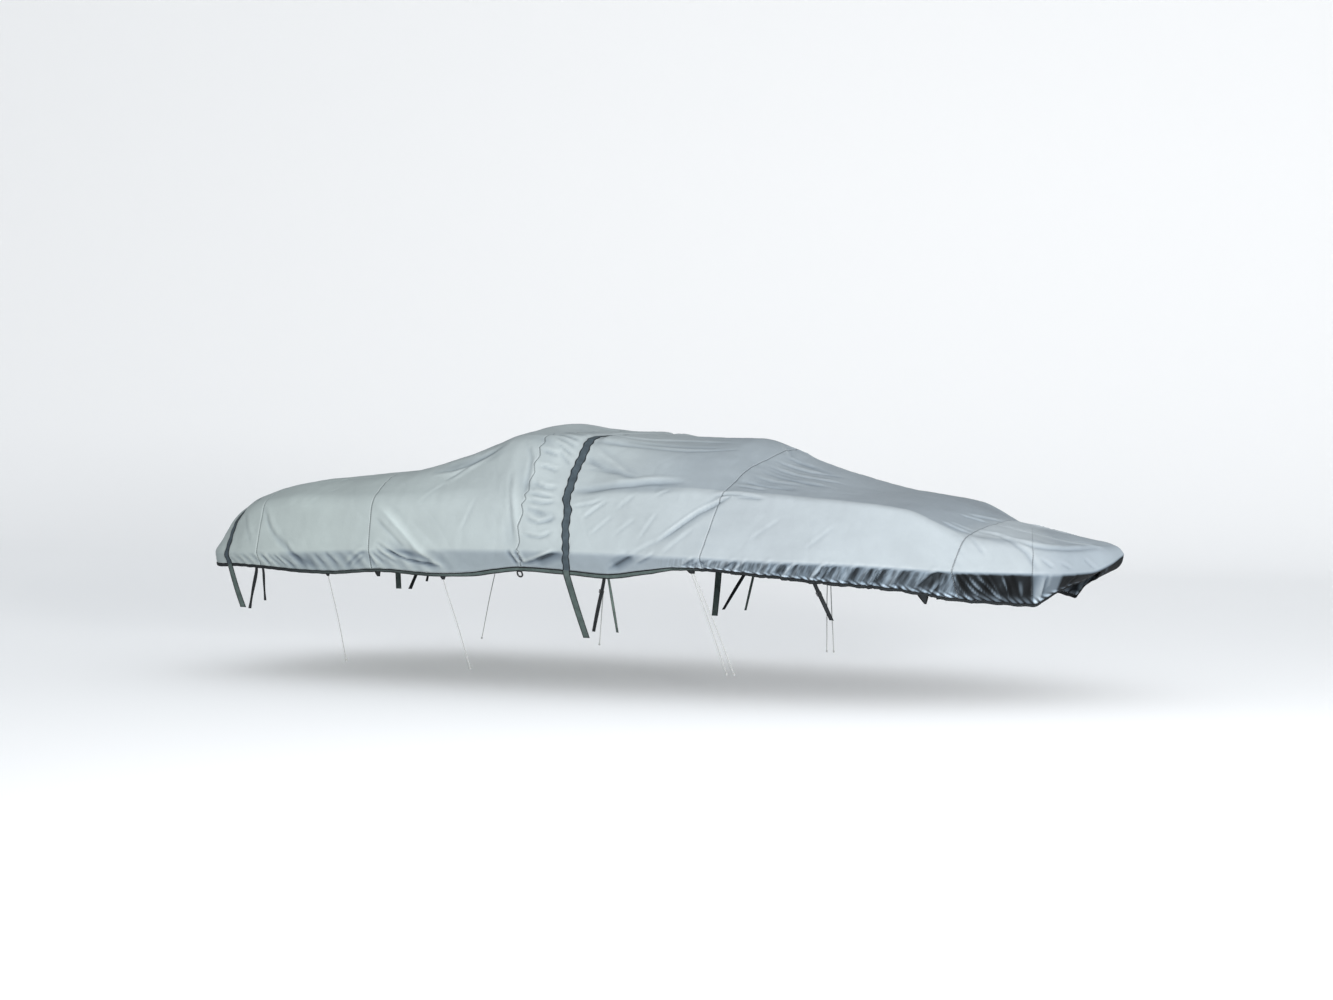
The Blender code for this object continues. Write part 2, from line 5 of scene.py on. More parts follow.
import bmesh
import bpy
import numpy as np
from mathutils import Matrix, Vector


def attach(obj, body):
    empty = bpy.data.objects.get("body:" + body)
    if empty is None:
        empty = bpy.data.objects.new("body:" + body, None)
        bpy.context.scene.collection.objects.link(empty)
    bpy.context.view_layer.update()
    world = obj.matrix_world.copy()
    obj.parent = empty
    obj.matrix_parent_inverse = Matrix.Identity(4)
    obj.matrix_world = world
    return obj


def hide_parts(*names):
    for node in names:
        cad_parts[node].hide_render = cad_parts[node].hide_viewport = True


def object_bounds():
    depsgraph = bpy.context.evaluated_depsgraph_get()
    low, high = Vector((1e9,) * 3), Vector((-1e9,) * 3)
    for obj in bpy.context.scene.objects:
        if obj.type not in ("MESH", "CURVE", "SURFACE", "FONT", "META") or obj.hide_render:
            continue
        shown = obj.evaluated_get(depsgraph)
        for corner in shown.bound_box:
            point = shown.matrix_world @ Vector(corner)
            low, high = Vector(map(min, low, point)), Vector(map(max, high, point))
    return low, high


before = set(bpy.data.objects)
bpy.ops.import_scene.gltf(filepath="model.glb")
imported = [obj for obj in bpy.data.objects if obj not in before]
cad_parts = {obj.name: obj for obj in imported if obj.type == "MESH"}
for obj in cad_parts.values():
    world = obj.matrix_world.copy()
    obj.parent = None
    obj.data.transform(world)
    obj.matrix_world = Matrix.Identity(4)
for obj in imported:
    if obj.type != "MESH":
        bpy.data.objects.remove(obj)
cad_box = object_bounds()

MM = 0.001
TAU = 2 * math.pi
RIDGE = 8.0                           # the step at the top of a section; the hem is step 0

# ---- the cover's form, as in the model: one row for each section from the stern's middle to the bow's.
# Heights are above the rub rail amidships, *_in is a distance in from the rail, and hem_drop one down.
SECTION_COLUMNS = ("along", "rail_x", "rail_y", "rail_z", "hem_in", "hem_drop",
                   "shoulder_in", "shoulder_z", "roof_in", "roof_z", "ridge_x", "ridge_z")
SECTIONS = [
    (-4.10, -3.06, 0.00, -0.030, 0.00, 0.075, 0.12, 0.150, 0.25, 0.290, -2.58, 0.385),
    (-3.60, -3.05, 0.50, -0.030, 0.00, 0.075, 0.17, 0.150, 0.38, 0.285, -2.58, 0.385),
    (-3.20, -2.98, 0.88, -0.035, 0.01, 0.075, 0.18, 0.150, 0.41, 0.290, -2.58, 0.385),
    (-2.95, -2.85, 1.07, -0.040, 0.02, 0.075, 0.15, 0.180, 0.40, 0.325, -2.58, 0.385),
    (-2.83, -2.765, 1.118, -0.040, 0.03, 0.073, 0.14, 0.213, 0.40, 0.345, -2.580, 0.385),
    (-2.77, -2.717, 1.135, -0.040, 0.04, 0.071, 0.13, 0.230, 0.40, 0.354, -2.520, 0.397),
    (-2.50, -2.50, 1.19, -0.036, 0.05, 0.080, 0.10, 0.300, 0.40, 0.392, -2.48, 0.420),
    (-2.10, -2.10, 1.23, -0.022, 0.05, 0.112, 0.07, 0.340, 0.36, 0.452, -2.10, 0.474),
    (-1.85, -1.85, 1.24, -0.010, 0.05, 0.125, 0.06, 0.340, 0.33, 0.468, -1.85, 0.499),
    (-1.56, -1.56, 1.25, 0.002, 0.05, 0.115, 0.06, 0.340, 0.30, 0.488, -1.56, 0.535),
    (-1.05, -1.05, 1.25, 0.018, 0.05, 0.147, 0.07, 0.360, 0.35, 0.608, -1.05, 0.705),
    (-0.85, -0.85, 1.25, 0.020, 0.05, 0.140, 0.08, 0.370, 0.38, 0.682, -0.86, 0.788),
    (-0.65, -0.65, 1.25, 0.022, 0.05, 0.115, 0.08, 0.370, 0.38, 0.750, -0.69, 0.824),
    (-0.46, -0.46, 1.25, 0.024, 0.05, 0.098, 0.09, 0.360, 0.40, 0.762, -0.48, 0.776),
    (-0.16, -0.13, 1.25, 0.022, 0.05, 0.110, 0.13, 0.330, 0.58, 0.757, -0.22, 0.762),
    (0.14, 0.14, 1.25, 0.020, 0.05, 0.125, 0.22, 0.420, 0.62, 0.700, 0.12, 0.745),
    (0.40, 0.40, 1.245, 0.016, 0.05, 0.090, 0.26, 0.420, 0.62, 0.655, 0.40, 0.737),
    (0.64, 0.61, 1.24, 0.010, 0.05, 0.062, 0.28, 0.415, 0.62, 0.608, 0.68, 0.734),
    (0.84, 0.79, 1.235, 0.007, 0.05, 0.060, 0.30, 0.405, 0.62, 0.545, 0.92, 0.662),
    (1.00, 0.97, 1.225, 0.000, 0.05, 0.065, 0.30, 0.400, 0.60, 0.495, 1.06, 0.594),
    (1.25, 1.24, 1.205, -0.007, 0.06, 0.082, 0.31, 0.385, 0.60, 0.450, 1.28, 0.518),
    (1.60, 1.60, 1.150, -0.015, 0.07, 0.108, 0.30, 0.360, 0.60, 0.386, 1.60, 0.419),
    (1.95, 1.95, 1.060, -0.032, 0.09, 0.123, 0.29, 0.315, 0.60, 0.333, 1.95, 0.359),
    (2.30, 2.30, 0.890, -0.058, 0.12, 0.163, 0.20, 0.150, 0.45, 0.190, 2.38, 0.224),
    (2.56, 2.54, 0.740, -0.068, 0.14, 0.178, 0.18, 0.125, 0.40, 0.172, 2.46, 0.201),
    (2.80, 2.72, 0.600, -0.075, 0.15, 0.188, 0.16, 0.120, 0.35, 0.155, 2.53, 0.185),
    (3.00, 2.86, 0.440, -0.085, 0.15, 0.110, 0.07, 0.072, 0.18, 0.114, 2.59, 0.168),
    (3.18, 2.99, 0.280, -0.080, 0.13, 0.060, 0.07, 0.076, 0.18, 0.106, 2.65, 0.157),
    (3.34, 3.08, 0.140, -0.035, 0.12, 0.050, 0.05, 0.076, 0.14, 0.100, 2.71, 0.147),
    (3.50, 3.13, 0.000, 0.020, 0.12, 0.045, 0.04, 0.074, 0.12, 0.098, 2.77, 0.138),
]
STERN, BOW = SECTIONS[0][0], SECTIONS[-1][0]
RAIL_ROUND, ROOF_ROUND, RIDGE_ROUND = 0.025, 0.12, 0.25    # how much of each corner is rounded
# how far the strap over the windshield draws the sections near it forward, by step
STRAP_LEAN = [(0, 0.0), (1.5, 0.018), (3.2, -0.022), (4.5, -0.060), (6.0, -0.028), (8, 0.0)]
STRAP_LEAN_ALONG, STRAP_LEAN_REACH = -0.16, 0.28
CLOTH = 2.0 * MM
LIFT = 0.4 * MM                       # the clearance between the cloth and its trim
SEAM_GAP = 0.0003                     # a panel ends this far from its seam's line

# ---- panels: name, first and last station, and how far apart the columns of cloth lie
PANELS = [
    ("panel_stern", STERN, -2.45, 16 * MM),
    ("panel_aft", -2.45, -1.56, 10 * MM),
    ("panel_cockpit", -1.56, -0.46, 10.5 * MM),
    ("panel_windshield", -0.46, 0.84, 10 * MM),
    ("panel_foredeck", 0.84, 2.30, 8.4 * MM),
    ("panel_bow", 2.30, 2.80, 7 * MM),
    ("panel_bow_cap", 2.80, BOW, 8.5 * MM),
]
# how many rows of cloth lie in each part of a section: hem, rail, side, shoulder, roof edge, roof, ridge
ROWS = (11, 6, 28, 14, 24, 14, 24, 14)

# ---- folds: depth and width in millimetres (a negative depth stands out), then (along, step) points.
# Steps run up a section: 0 the hem, 1 to 2 the rail, 3 to 4 the shoulder, 5 to 6 the roof edge, 8 the ridge.
MAIN_FOLDS = [
    (12, 60, (-2.30, 2.40), (-2.00, 0.30)),
    (-14, 75, (-1.50, 3.10), (-1.08, 1.10)),
    (16, 60, (-1.44, 2.10), (-1.05, 0.40)),
    (14, 70, (-1.19, 5.30), (-0.72, 5.15)),
    (12, 70, (-0.59, 4.80), (-0.50, 1.80)),
    (12, 60, (-0.40, 3.00), (-0.24, 2.80)),
    (14, 60, (-0.36, 0.40), (-0.18, 1.60)),
    (20, 80, (-0.14, 4.15), (0.52, 4.05)),
    (14, 70, (-0.14, 4.80), (0.22, 4.25)),
    (12, 60, (-0.14, 5.30), (0.60, 6.40)),
    (16, 60, (0.19, 0.40), (0.34, 1.60)),
    (12, 60, (0.50, 2.20), (0.86, 3.10)),
    (10, 60, (0.92, 7.30), (1.30, 7.10)),
    (10, 60, (0.92, 6.00), (1.32, 5.60)),
    (10, 60, (0.92, 5.00), (1.24, 4.90)),
    (18, 60, (2.08, 0.20), (2.27, 1.60)),
    (8, 70, (2.30, 4.60), (2.62, 3.60)),
]
FINE_FOLDS = [
    # the aft quarter, running down and forward into the drawn hem
    (9, 34, (-2.43, 3.10), (-2.35, 2.50), (-2.19, 1.95), (-2.02, 0.30)),
    (7, 26, (-2.23, 2.20), (-2.15, 1.00), (-2.07, 0.25)),
    (7, 22, (-2.41, 1.30), (-2.36, 0.10)),
    (7, 22, (-2.35, 1.30), (-2.28, 0.10)),
    (6, 20, (-2.30, 1.20), (-2.22, 0.15)),
    (7, 22, (-2.26, 1.20), (-2.16, 0.10)),
    (5, 34, (-2.67, 3.10), (-2.53, 2.20)),
    (6, 22, (-1.98, 1.20), (-1.92, 0.40)),
    (6, 22, (-1.89, 1.30), (-1.82, 0.45)),
    (8, 24, (-1.75, 0.25), (-1.63, 1.15), (-1.57, 1.40)),
    (6, 20, (-1.69, 0.30), (-1.60, 0.90)),
    # the long fold from the second seam down to the hem, with its small companions
    (-12, 44, (-1.50, 3.15), (-1.40, 2.75), (-1.26, 2.20), (-1.14, 0.90), (-1.02, 0.33)),
    (7, 28, (-1.52, 2.75), (-1.40, 2.35), (-1.30, 1.95)),
    (16, 19, (-1.50, 2.12), (-1.40, 1.40), (-1.28, 0.65), (-1.05, 0.35)),
    (8, 22, (-1.51, 1.90), (-1.44, 0.90), (-1.36, 0.40)),
    (8, 22, (-1.53, 1.30), (-1.46, 0.40)),
    (6, 20, (-1.56, 1.20), (-1.53, 0.20)),
    # the rise to the windshield
    (10, 36, (-0.72, 5.40), (-0.90, 5.20), (-1.04, 5.05), (-1.22, 5.20)),
    (8, 30, (-0.80, 5.30), (-0.95, 5.00), (-1.08, 4.55)),
    (6, 30, (-1.96, 5.30), (-1.82, 6.60)),
    (6, 30, (-2.12, 5.20), (-1.96, 5.50), (-1.64, 5.55)),
    (-9, 60, (-0.62, 5.20), (-0.56, 4.00), (-0.52, 2.80), (-0.48, 2.00)),
    (8, 32, (-0.60, 4.40), (-0.55, 3.20), (-0.50, 2.20)),
    (8, 30, (-0.58, 5.30), (-0.50, 4.80), (-0.47, 3.80)),
    # gathers that spring forward from the seam at the crest
    (13, 26, (-0.44, 5.00), (-0.32, 4.85)),
    (13, 24, (-0.42, 4.60), (-0.28, 4.50)),
    (14, 26, (-0.43, 4.20), (-0.34, 4.10), (-0.25, 4.12)),
    (12, 24, (-0.43, 3.85), (-0.26, 3.75)),
    (13, 24, (-0.43, 3.45), (-0.34, 3.40), (-0.25, 3.55)),
    (13, 24, (-0.44, 2.80), (-0.35, 2.68), (-0.25, 2.85)),
    (10, 22, (-0.44, 3.05), (-0.32, 2.95)),
    (12, 22, (-0.44, 2.35), (-0.33, 2.30), (-0.26, 2.45)),
    (13, 26, (-0.52, 6.60), (-0.36, 6.10), (-0.23, 5.80)),
    (13, 24, (-0.44, 6.00), (-0.34, 5.70), (-0.22, 5.35)),
    (12, 24, (-0.40, 5.60), (-0.30, 5.30), (-0.22, 5.05)),
    (12, 22, (-0.36, 5.25), (-0.22, 4.85)),
    (12, 22, (-0.32, 4.95), (-0.21, 4.65)),
    (14, 24, (-0.53, 1.60), (-0.48, 0.15)),
    (13, 22, (-0.48, 1.60), (-0.44, 0.30)),
    (13, 24, (-0.45, 0.15), (-0.32, 0.75), (-0.23, 1.40)),
    (12, 22, (-0.35, 0.60), (-0.25, 1.50)),
    # the windshield roof, drawn forward from the strap
    (9, 40, (-0.13, 6.00), (0.00, 6.07), (0.25, 6.70), (0.56, 6.95)),
    (10, 38, (-0.13, 5.35), (0.11, 5.43), (0.43, 5.75), (0.65, 6.45)),
    (-8, 36, (-0.12, 5.05), (0.02, 4.72), (0.15, 4.35)),
    (10, 30, (-0.13, 4.85), (-0.03, 4.60), (0.12, 4.42)),
    (8, 26, (-0.12, 4.58), (0.10, 4.37), (0.22, 4.18)),
    (14, 40, (-0.13, 4.12), (0.05, 3.97), (0.22, 3.98), (0.34, 4.12), (0.52, 4.20)),
    (7, 22, (-0.12, 3.36), (-0.02, 3.20), (0.06, 3.08)),
    (7, 22, (-0.05, 2.80), (0.09, 2.98)),
    # faint creases left by packing, all leaning the same way
    (4, 22, (0.03, 2.35), (0.15, 2.65)),
    (4, 22, (0.20, 2.33), (0.30, 2.60)),
    (4, 22, (0.36, 2.25), (0.44, 2.70)),
    (4, 24, (0.17, 2.80), (0.26, 3.20)),
    (4, 24, (0.40, 3.05), (0.48, 3.60)),
    (4, 24, (0.56, 1.95), (0.74, 2.45)),
    (3, 22, (1.10, 2.30), (1.25, 2.70)),
    (3, 22, (1.45, 2.20), (1.58, 2.60)),
    (3, 24, (-2.05, 3.20), (-1.90, 4.60)),
    (3, 24, (-1.20, 3.30), (-1.08, 4.30)),
    (3, 24, (-0.88, 2.40), (-0.80, 3.40)),
    # the side under the windshield
    (8, 20, (0.17, 0.30), (0.26, 0.75), (0.34, 1.50)),
    (8, 20, (0.36, 0.55), (0.43, 0.95), (0.50, 2.00)),
    (5, 26, (0.34, 1.60), (0.42, 2.10), (0.52, 2.25)),
    (20, 19, (0.51, 2.24), (0.63, 2.50), (0.73, 2.73), (0.82, 2.88), (0.89, 3.10)),
    (8, 26, (0.80, 3.12), (0.87, 3.40), (0.94, 3.45), (1.07, 3.15)),
    (6, 24, (0.93, 3.12), (1.10, 3.08)),
    (8, 22, (0.70, 0.15), (0.81, 1.40)),
    (7, 20, (0.76, 0.20), (0.84, 1.00)),
    (8, 20, (0.86, 0.10), (0.84, 1.20)),
    # the top of the foredeck, puckered from the seam
    (9, 34, (0.90, 6.65), (1.12, 6.75), (1.30, 7.20)),
    (9, 34, (0.91, 6.20), (1.12, 6.20), (1.38, 6.50)),
    (9, 32, (0.91, 5.75), (1.11, 5.70), (1.38, 5.75)),
    (8, 30, (0.91, 5.30), (1.04, 5.27), (1.22, 5.35)),
    (8, 30, (0.90, 4.85), (1.04, 4.80), (1.16, 4.85)),
    (7, 28, (0.88, 4.45), (1.06, 4.35)),
    (8, 30, (0.90, 7.10), (1.10, 7.30)),
    (-8, 28, (0.76, 8.00), (0.89, 7.30)),
    # deeper tucks in the drawn hem
    (7, 22, (0.97, 0.30), (1.06, 1.40)),
    (8, 22, (1.05, 0.30), (1.13, 1.60)),
    (9, 24, (1.19, 0.40), (1.28, 1.55)),
    (9, 24, (1.28, 0.20), (1.35, 1.30)),
    (10, 24, (1.35, 0.40), (1.43, 1.40)),
    (13, 26, (1.51, 0.20), (1.61, 1.45)),
    (13, 26, (1.56, 0.10), (1.65, 1.30)),
    (12, 26, (1.70, 0.05), (1.79, 1.45)),
    (12, 26, (1.78, 0.05), (1.87, 1.50)),
    (12, 28, (1.85, 0.05), (1.95, 1.40)),
    (13, 28, (1.96, 0.05), (2.05, 1.40)),
    (15, 30, (2.08, 0.05), (2.16, 0.70), (2.25, 1.55)),
    (12, 26, (2.16, 0.05), (2.24, 0.60), (2.28, 1.40)),
    # the fan of folds under the bow
    (-15, 17, (2.31, 1.55), (2.33, 0.40), (2.37, 0.00)),
    (-13, 15, (2.34, 1.55), (2.38, 0.60), (2.44, 0.10)),
    (-15, 17, (2.38, 1.50), (2.43, 0.60), (2.50, 0.10)),
    (-16, 19, (2.44, 1.50), (2.50, 0.55), (2.56, 0.10)),
    (-12, 14, (2.50, 1.45), (2.53, 0.65), (2.57, 0.10)),
    (-14, 15, (2.59, 1.45), (2.61, 0.65), (2.62, 0.10)),
    (10, 24, (2.66, 1.40), (2.70, 0.10)),
    (10, 24, (2.90, 1.50), (2.88, 0.10)),
    (10, 24, (3.10, 1.50), (3.08, 0.10)),
    # the bow deck
    (8, 32, (2.13, 4.50), (2.27, 4.60)),
    (8, 30, (2.15, 4.95), (2.28, 5.10)),
    (8, 30, (2.15, 6.70), (2.28, 7.50)),
    (7, 30, (2.12, 6.00), (2.25, 6.60)),
    (6, 26, (2.35, 3.50), (2.45, 2.75)),
    (9, 36, (2.32, 5.20), (2.50, 4.85), (2.67, 3.30), (2.75, 2.90), (2.83, 2.15)),
    (-8, 30, (2.34, 6.70), (2.70, 5.80), (3.08, 5.60), (3.34, 3.60)),
    (9, 34, (2.55, 3.95), (2.82, 3.25), (3.04, 3.60), (3.28, 3.65)),
    (6, 24, (2.87, 2.65), (2.94, 2.25)),
    (5, 22, (3.00, 2.70), (3.06, 2.20)),
    (5, 22, (3.16, 3.00), (3.22, 1.95)),
]
PORT_SHIFT = (0.03, 0.1)              # moves the port side's narrow folds, so that it isn't a copy
CREST_SEAM, BOW_SEAM, CAP_SEAM = -0.46, 2.30, 2.80
# each seam's puckers: depth in millimetres, pitch and reach in metres
SEAM_PUCKERS = {-2.45: (2.0, 0.055, 0.030), -1.56: (3.0, 0.060, 0.035), CREST_SEAM: (11.0, 0.075, 0.070),
                0.84: (3.0, 0.070, 0.050), BOW_SEAM: (3.0, 0.060, 0.040), CAP_SEAM: (2.0, 0.050, 0.035)}

# ---- fittings along each side of the hem
WEBBING_THICK = 1.8 * MM
# straps over the cover: station, the drop, inward and forward reach of the tail, and the step from which the
# strap sinks into the cloth
OVER_STRAPS = [
    ("strap_stern", -2.80, 0.30, 0.07, 0.06, 3.0),
    ("strap_windshield", -0.16, 0.44, 0.20, 0.04, 5.0),
]
OVER_STRAP_WIDE, OVER_STRAP_LIFT = 50 * MM, 1.6 * MM
STRAP_SINK = 13 * MM
BINDING_TALL = 25 * MM
BINDING_THICK = 3 * MM
# ties: station, the drop, inward and forward reach of the free end, and the width
TIES = [
    ("tie_aft_long", -2.500, 0.30, 0.08, -0.10, 0.028),
    ("tie_aft_short", -2.440, 0.24, 0.07, -0.02, 0.018),
    ("tie_mid_aft", 0.125, 0.38, 0.18, -0.16, 0.026),
    ("tie_mid_fore", 0.155, 0.38, 0.18, -0.02, 0.018),
    ("tie_fore", 1.500, 0.25, 0.12, 0.07, 0.028),
]
TIE_KNEE, TIE_BEND = 0.12, 0.60       # how far down a tie its two bends are, as shares of its length
# buckles: the tie each is on and how far down it from the first bend to the second
BUCKLES = [("buckle_mid", "tie_mid_aft", 0.34), ("buckle_fore", "tie_fore", 0.36)]
SLIDER_WIDE, SLIDER_TALL, SLIDER_THICK = 34 * MM, 24 * MM, 3 * MM
SLOT_WIDE, SLOT_FOOT, SLOT_TOP = 26 * MM, 2 * MM, 7 * MM
LIP_REACH = (0, 3 * MM, 2 * MM)       # the thumb lip goes this far on and up from the plate's edge
# tabs: station, width, height below the binding, and the share of the width that is left at the foot
TABS = [
    ("tab_aft", -1.910, 0.030, 0.014, 0.5),
    ("tab_seam", -1.520, 0.042, 0.030, 0.5),
    ("tab_cockpit", -1.030, 0.040, 0.018, 0.5),
    ("tab_windshield", 0.750, 0.054, 0.026, 0.6),
    ("tab_bow", 2.110, 0.070, 0.064, 0.2),
]
TAB_THICK, TAB_CROWN = 4 * MM, 1 * MM
LOOP_ALONG, LOOP_WIDE, LOOP_TALL, LOOP_RADIUS = -0.480, 46 * MM, 56 * MM, 5.5 * MM
LOOP_TAB_THICK = 1.5 * MM
# ropes: the tab each hangs from and its place beside the tab's middle, then the drop, inward and forward
# reach of its end
CORDS = [
    ("cord_aft", "tab_aft", 0.0, 0.60, 0.25, -0.01),
    ("cord_cockpit", "tab_cockpit", 0.0, 0.62, 0.25, 0.06),
    ("cord_fore_1", "tab_windshield", -0.008, 0.67, 0.33, 0.10),
    ("cord_fore_2", "tab_windshield", 0.008, 0.67, 0.33, 0.15),
]
CORD_RADIUS, CORD_SAG, CORD_TURN = 3.5 * MM, 8 * MM, 20 * MM
STRANDS, ROPE_LAY = 3, 30 * MM        # each strand goes once round in that length
KNOT_DROP, KNOT_SIZE, KNOT_RADIUS = 11 * MM, 2.5 * MM, 3.1 * MM
SIDES = (("starboard", 1.0), ("port", -1.0))

# ---- the room
FLOOR_DROP, FLOOR_HALF = 0.10, 160.0
WALL_FOOT, COVE_RADIUS, WALL_TALL = 12.0, 5, 16


# ======== the form of the cloth
TABLE = np.array(SECTIONS, float)


def unit(vector):
    return vector / np.linalg.norm(vector)


def unit_rows(vectors):
    return vectors / np.linalg.norm(vectors, axis=1)[:, None]


def ramp(value, start, run):
    """0 up to start and 1 from start + run on, straight in between; a negative run goes the other way."""
    return np.clip((value - start) / run, 0, 1)


def within_edges(step):
    """1 on the cloth, and 0 at its hem and on the ridge, where the two halves meet."""
    return np.clip(step, 0, 1) * np.clip(RIDGE - step, 0, 1)


def run_lengths(line):
    """How far along a line each of its points lies."""
    return np.concatenate([[0], np.cumsum(np.linalg.norm(np.diff(line, axis=0), axis=1))])


def section_sizes(along):
    """Every column of SECTIONS at the stations asked for, by a cubic that never overshoots its rows."""
    x = TABLE[:, 0]
    along = np.clip(along, x[0], x[-1])
    step = np.diff(x)[:, None]
    slope = np.diff(TABLE, axis=0) / step
    before, after = 2 * step[1:] + step[:-1], step[1:] + 2 * step[:-1]
    rising = slope[:-1] * slope[1:] > 0
    safe = np.where(rising, slope[:-1], 1.0), np.where(rising, slope[1:], 1.0)
    tangent = np.zeros_like(TABLE)
    tangent[1:-1] = np.where(rising, (before + after) / (before / safe[0] + after / safe[1]), 0.0)
    tangent[0], tangent[-1] = slope[0], slope[-1]
    i = np.clip(np.searchsorted(x, along, side="right") - 1, 0, len(x) - 2)
    wide = (x[i + 1] - x[i])[:, None]
    s = (along - x[i])[:, None] / wide
    return ((2 * s**3 - 3 * s**2 + 1) * TABLE[i] + (s**3 - 2 * s**2 + s) * wide * tangent[i]
            + (3 * s**2 - 2 * s**3) * TABLE[i + 1] + (s**3 - s**2) * wide * tangent[i + 1])


def toward(start, end, distance):
    """Points that distance from start towards end, and short of half way."""
    run = end - start
    length = np.linalg.norm(run, axis=1)[:, None]
    return start + run * np.minimum(distance / length, 0.45)


def smooth_form(along, step):
    """Points of the starboard half before folds: straight runs between the section's corners, each of which
    is rounded by a curve of its own."""
    near = np.clip(1 - ((along - STRAP_LEAN_ALONG) / STRAP_LEAN_REACH)**2, 0, 1)**2
    steps, forward = zip(*STRAP_LEAN)
    along = along + near * np.interp(step, steps, forward)
    size = dict(zip(SECTION_COLUMNS, section_sizes(along).T))
    rail = np.stack([size["rail_x"], -size["rail_y"], size["rail_z"]], -1)
    ridge = np.stack([size["ridge_x"], 0 * size["rail_y"], size["ridge_z"]], -1)
    inward = unit_rows((ridge - rail) * (1, 1, 0))

    def set_in(distance, height):
        point = rail + inward * distance[:, None]
        point[:, 2] = height
        return point

    hem = set_in(size["hem_in"], size["rail_z"] - size["hem_drop"])
    shoulder = set_in(size["shoulder_in"], size["shoulder_z"])
    roof = set_in(size["roof_in"], size["roof_z"])
    share = np.minimum(RIDGE_ROUND / np.linalg.norm(roof - ridge, axis=1), 0.45) / 2
    peak = ridge.copy()
    peak[:, 2] = (ridge[:, 2] - share * roof[:, 2]) / (1 - share)
    ridge_start = peak + (roof - peak) * 2 * share[:, None]
    ridge_far = np.where([True, True, False], 2 * peak - ridge_start, ridge_start)
    # the shoulder is sharper along the foredeck
    turn = np.interp(along, [0.2, 0.6, 2.1, 2.3], [0.07, 0.035, 0.035, 0.07])[:, None]
    knots = [hem, toward(rail, hem, RAIL_ROUND), toward(rail, shoulder, RAIL_ROUND),
             toward(shoulder, rail, turn), toward(shoulder, roof, turn),
             toward(roof, shoulder, ROOF_ROUND), toward(roof, peak, ROOF_ROUND), ridge_start, ridge_far]
    corners = {1: rail, 3: shoulder, 5: roof, 7: peak}
    segment = np.clip(step.astype(int), 0, 7)
    part = (step - segment)[:, None]
    point = np.zeros((len(along), 3))
    for index in range(8):
        start, end = knots[index], knots[index + 1]
        # the last curve runs over the ridge to port, and only its starboard half is used
        f = part / 2 if index == 7 else part
        if index in corners:
            curve = (1 - f)**2 * start + 2 * f * (1 - f) * corners[index] + f**2 * end
        else:
            curve = start + (end - start) * f
        point = np.where((segment == index)[:, None], curve, point)
    return point


def form_normal(along, step):
    """Outward unit normals of the smooth form."""
    small_a, small_s, touching = 0.004, 0.04, 1e-6
    a_low, a_high = np.maximum(along - small_a, STERN), np.minimum(along + small_a, BOW)
    s_low, s_high = np.maximum(step - small_s, 0.0), np.minimum(step + small_s, RIDGE)
    normal = np.cross(smooth_form(a_high, step) - smooth_form(a_low, step),
                      smooth_form(along, s_high) - smooth_form(along, s_low))
    middle = (along <= STERN + touching) | (along >= BOW - touching) | (step >= RIDGE - touching)
    normal[middle, 1] = 0.0
    normal[np.linalg.norm(normal, axis=1) < 1e-9] = (0.0, 0.0, 1.0)
    return unit_rows(normal)


def smooth_path(points, spacing):
    """A smooth curve through a few points, with a point every so far."""
    points = np.array(points, float)
    padded = np.vstack([2 * points[0] - points[1], points, 2 * points[-1] - points[-2]])
    out = []
    for i in range(len(points) - 1):
        p0, p1, p2, p3 = padded[i:i + 4]
        count = max(2, int(np.linalg.norm(p2 - p1) / spacing))
        for s in np.linspace(0, 1, count, endpoint=False):
            out.append(0.5 * (2 * p1 + (p2 - p0) * s + (2 * p0 - 5 * p1 + 4 * p2 - p3) * s**2
                              + (3 * p1 - p0 - 3 * p2 + p3) * s**3))
    out.append(points[-1])
    return np.array(out)


def crumple(point, size, seed):
    """Smooth unevenness of about that size, mostly from -1 to 1, the same where two pieces of cloth meet."""
    rng = np.random.default_rng(seed)
    waves = 10
    ways = unit_rows(rng.normal(size=(waves, 3)))
    rates = TAU / size * rng.uniform(0.6, 1.5, waves)
    return np.sin(point @ (ways * rates[:, None]).T + rng.uniform(0, TAU, waves)).sum(axis=1) / 4.5


def along_route(route, spot):
    """How far each spot lies from a route, the same with a sign for its side, and its share of the way."""
    nearest = np.full(len(spot), 9.0)
    signed = np.zeros(len(spot))
    travelled = np.zeros(len(spot))
    lengths = np.linalg.norm(np.diff(route, axis=0), axis=1)
    for index, (start, end) in enumerate(zip(route[:-1], route[1:])):
        run = end - start
        share = np.clip((spot - start) @ run / (run @ run), 0, 1)
        offset = spot - start - share[:, None] * run
        away = np.linalg.norm(offset, axis=1)
        closer = away < nearest
        nearest = np.where(closer, away, nearest)
        turn = np.cross(run, offset) @ np.array([0.0, -0.8, 0.6])
        signed = np.where(closer, away * np.sign(turn), signed)
        gone = (lengths[:index].sum() + share * lengths[index]) / lengths.sum()
        travelled = np.where(closer, gone, travelled)
    return nearest, signed, travelled


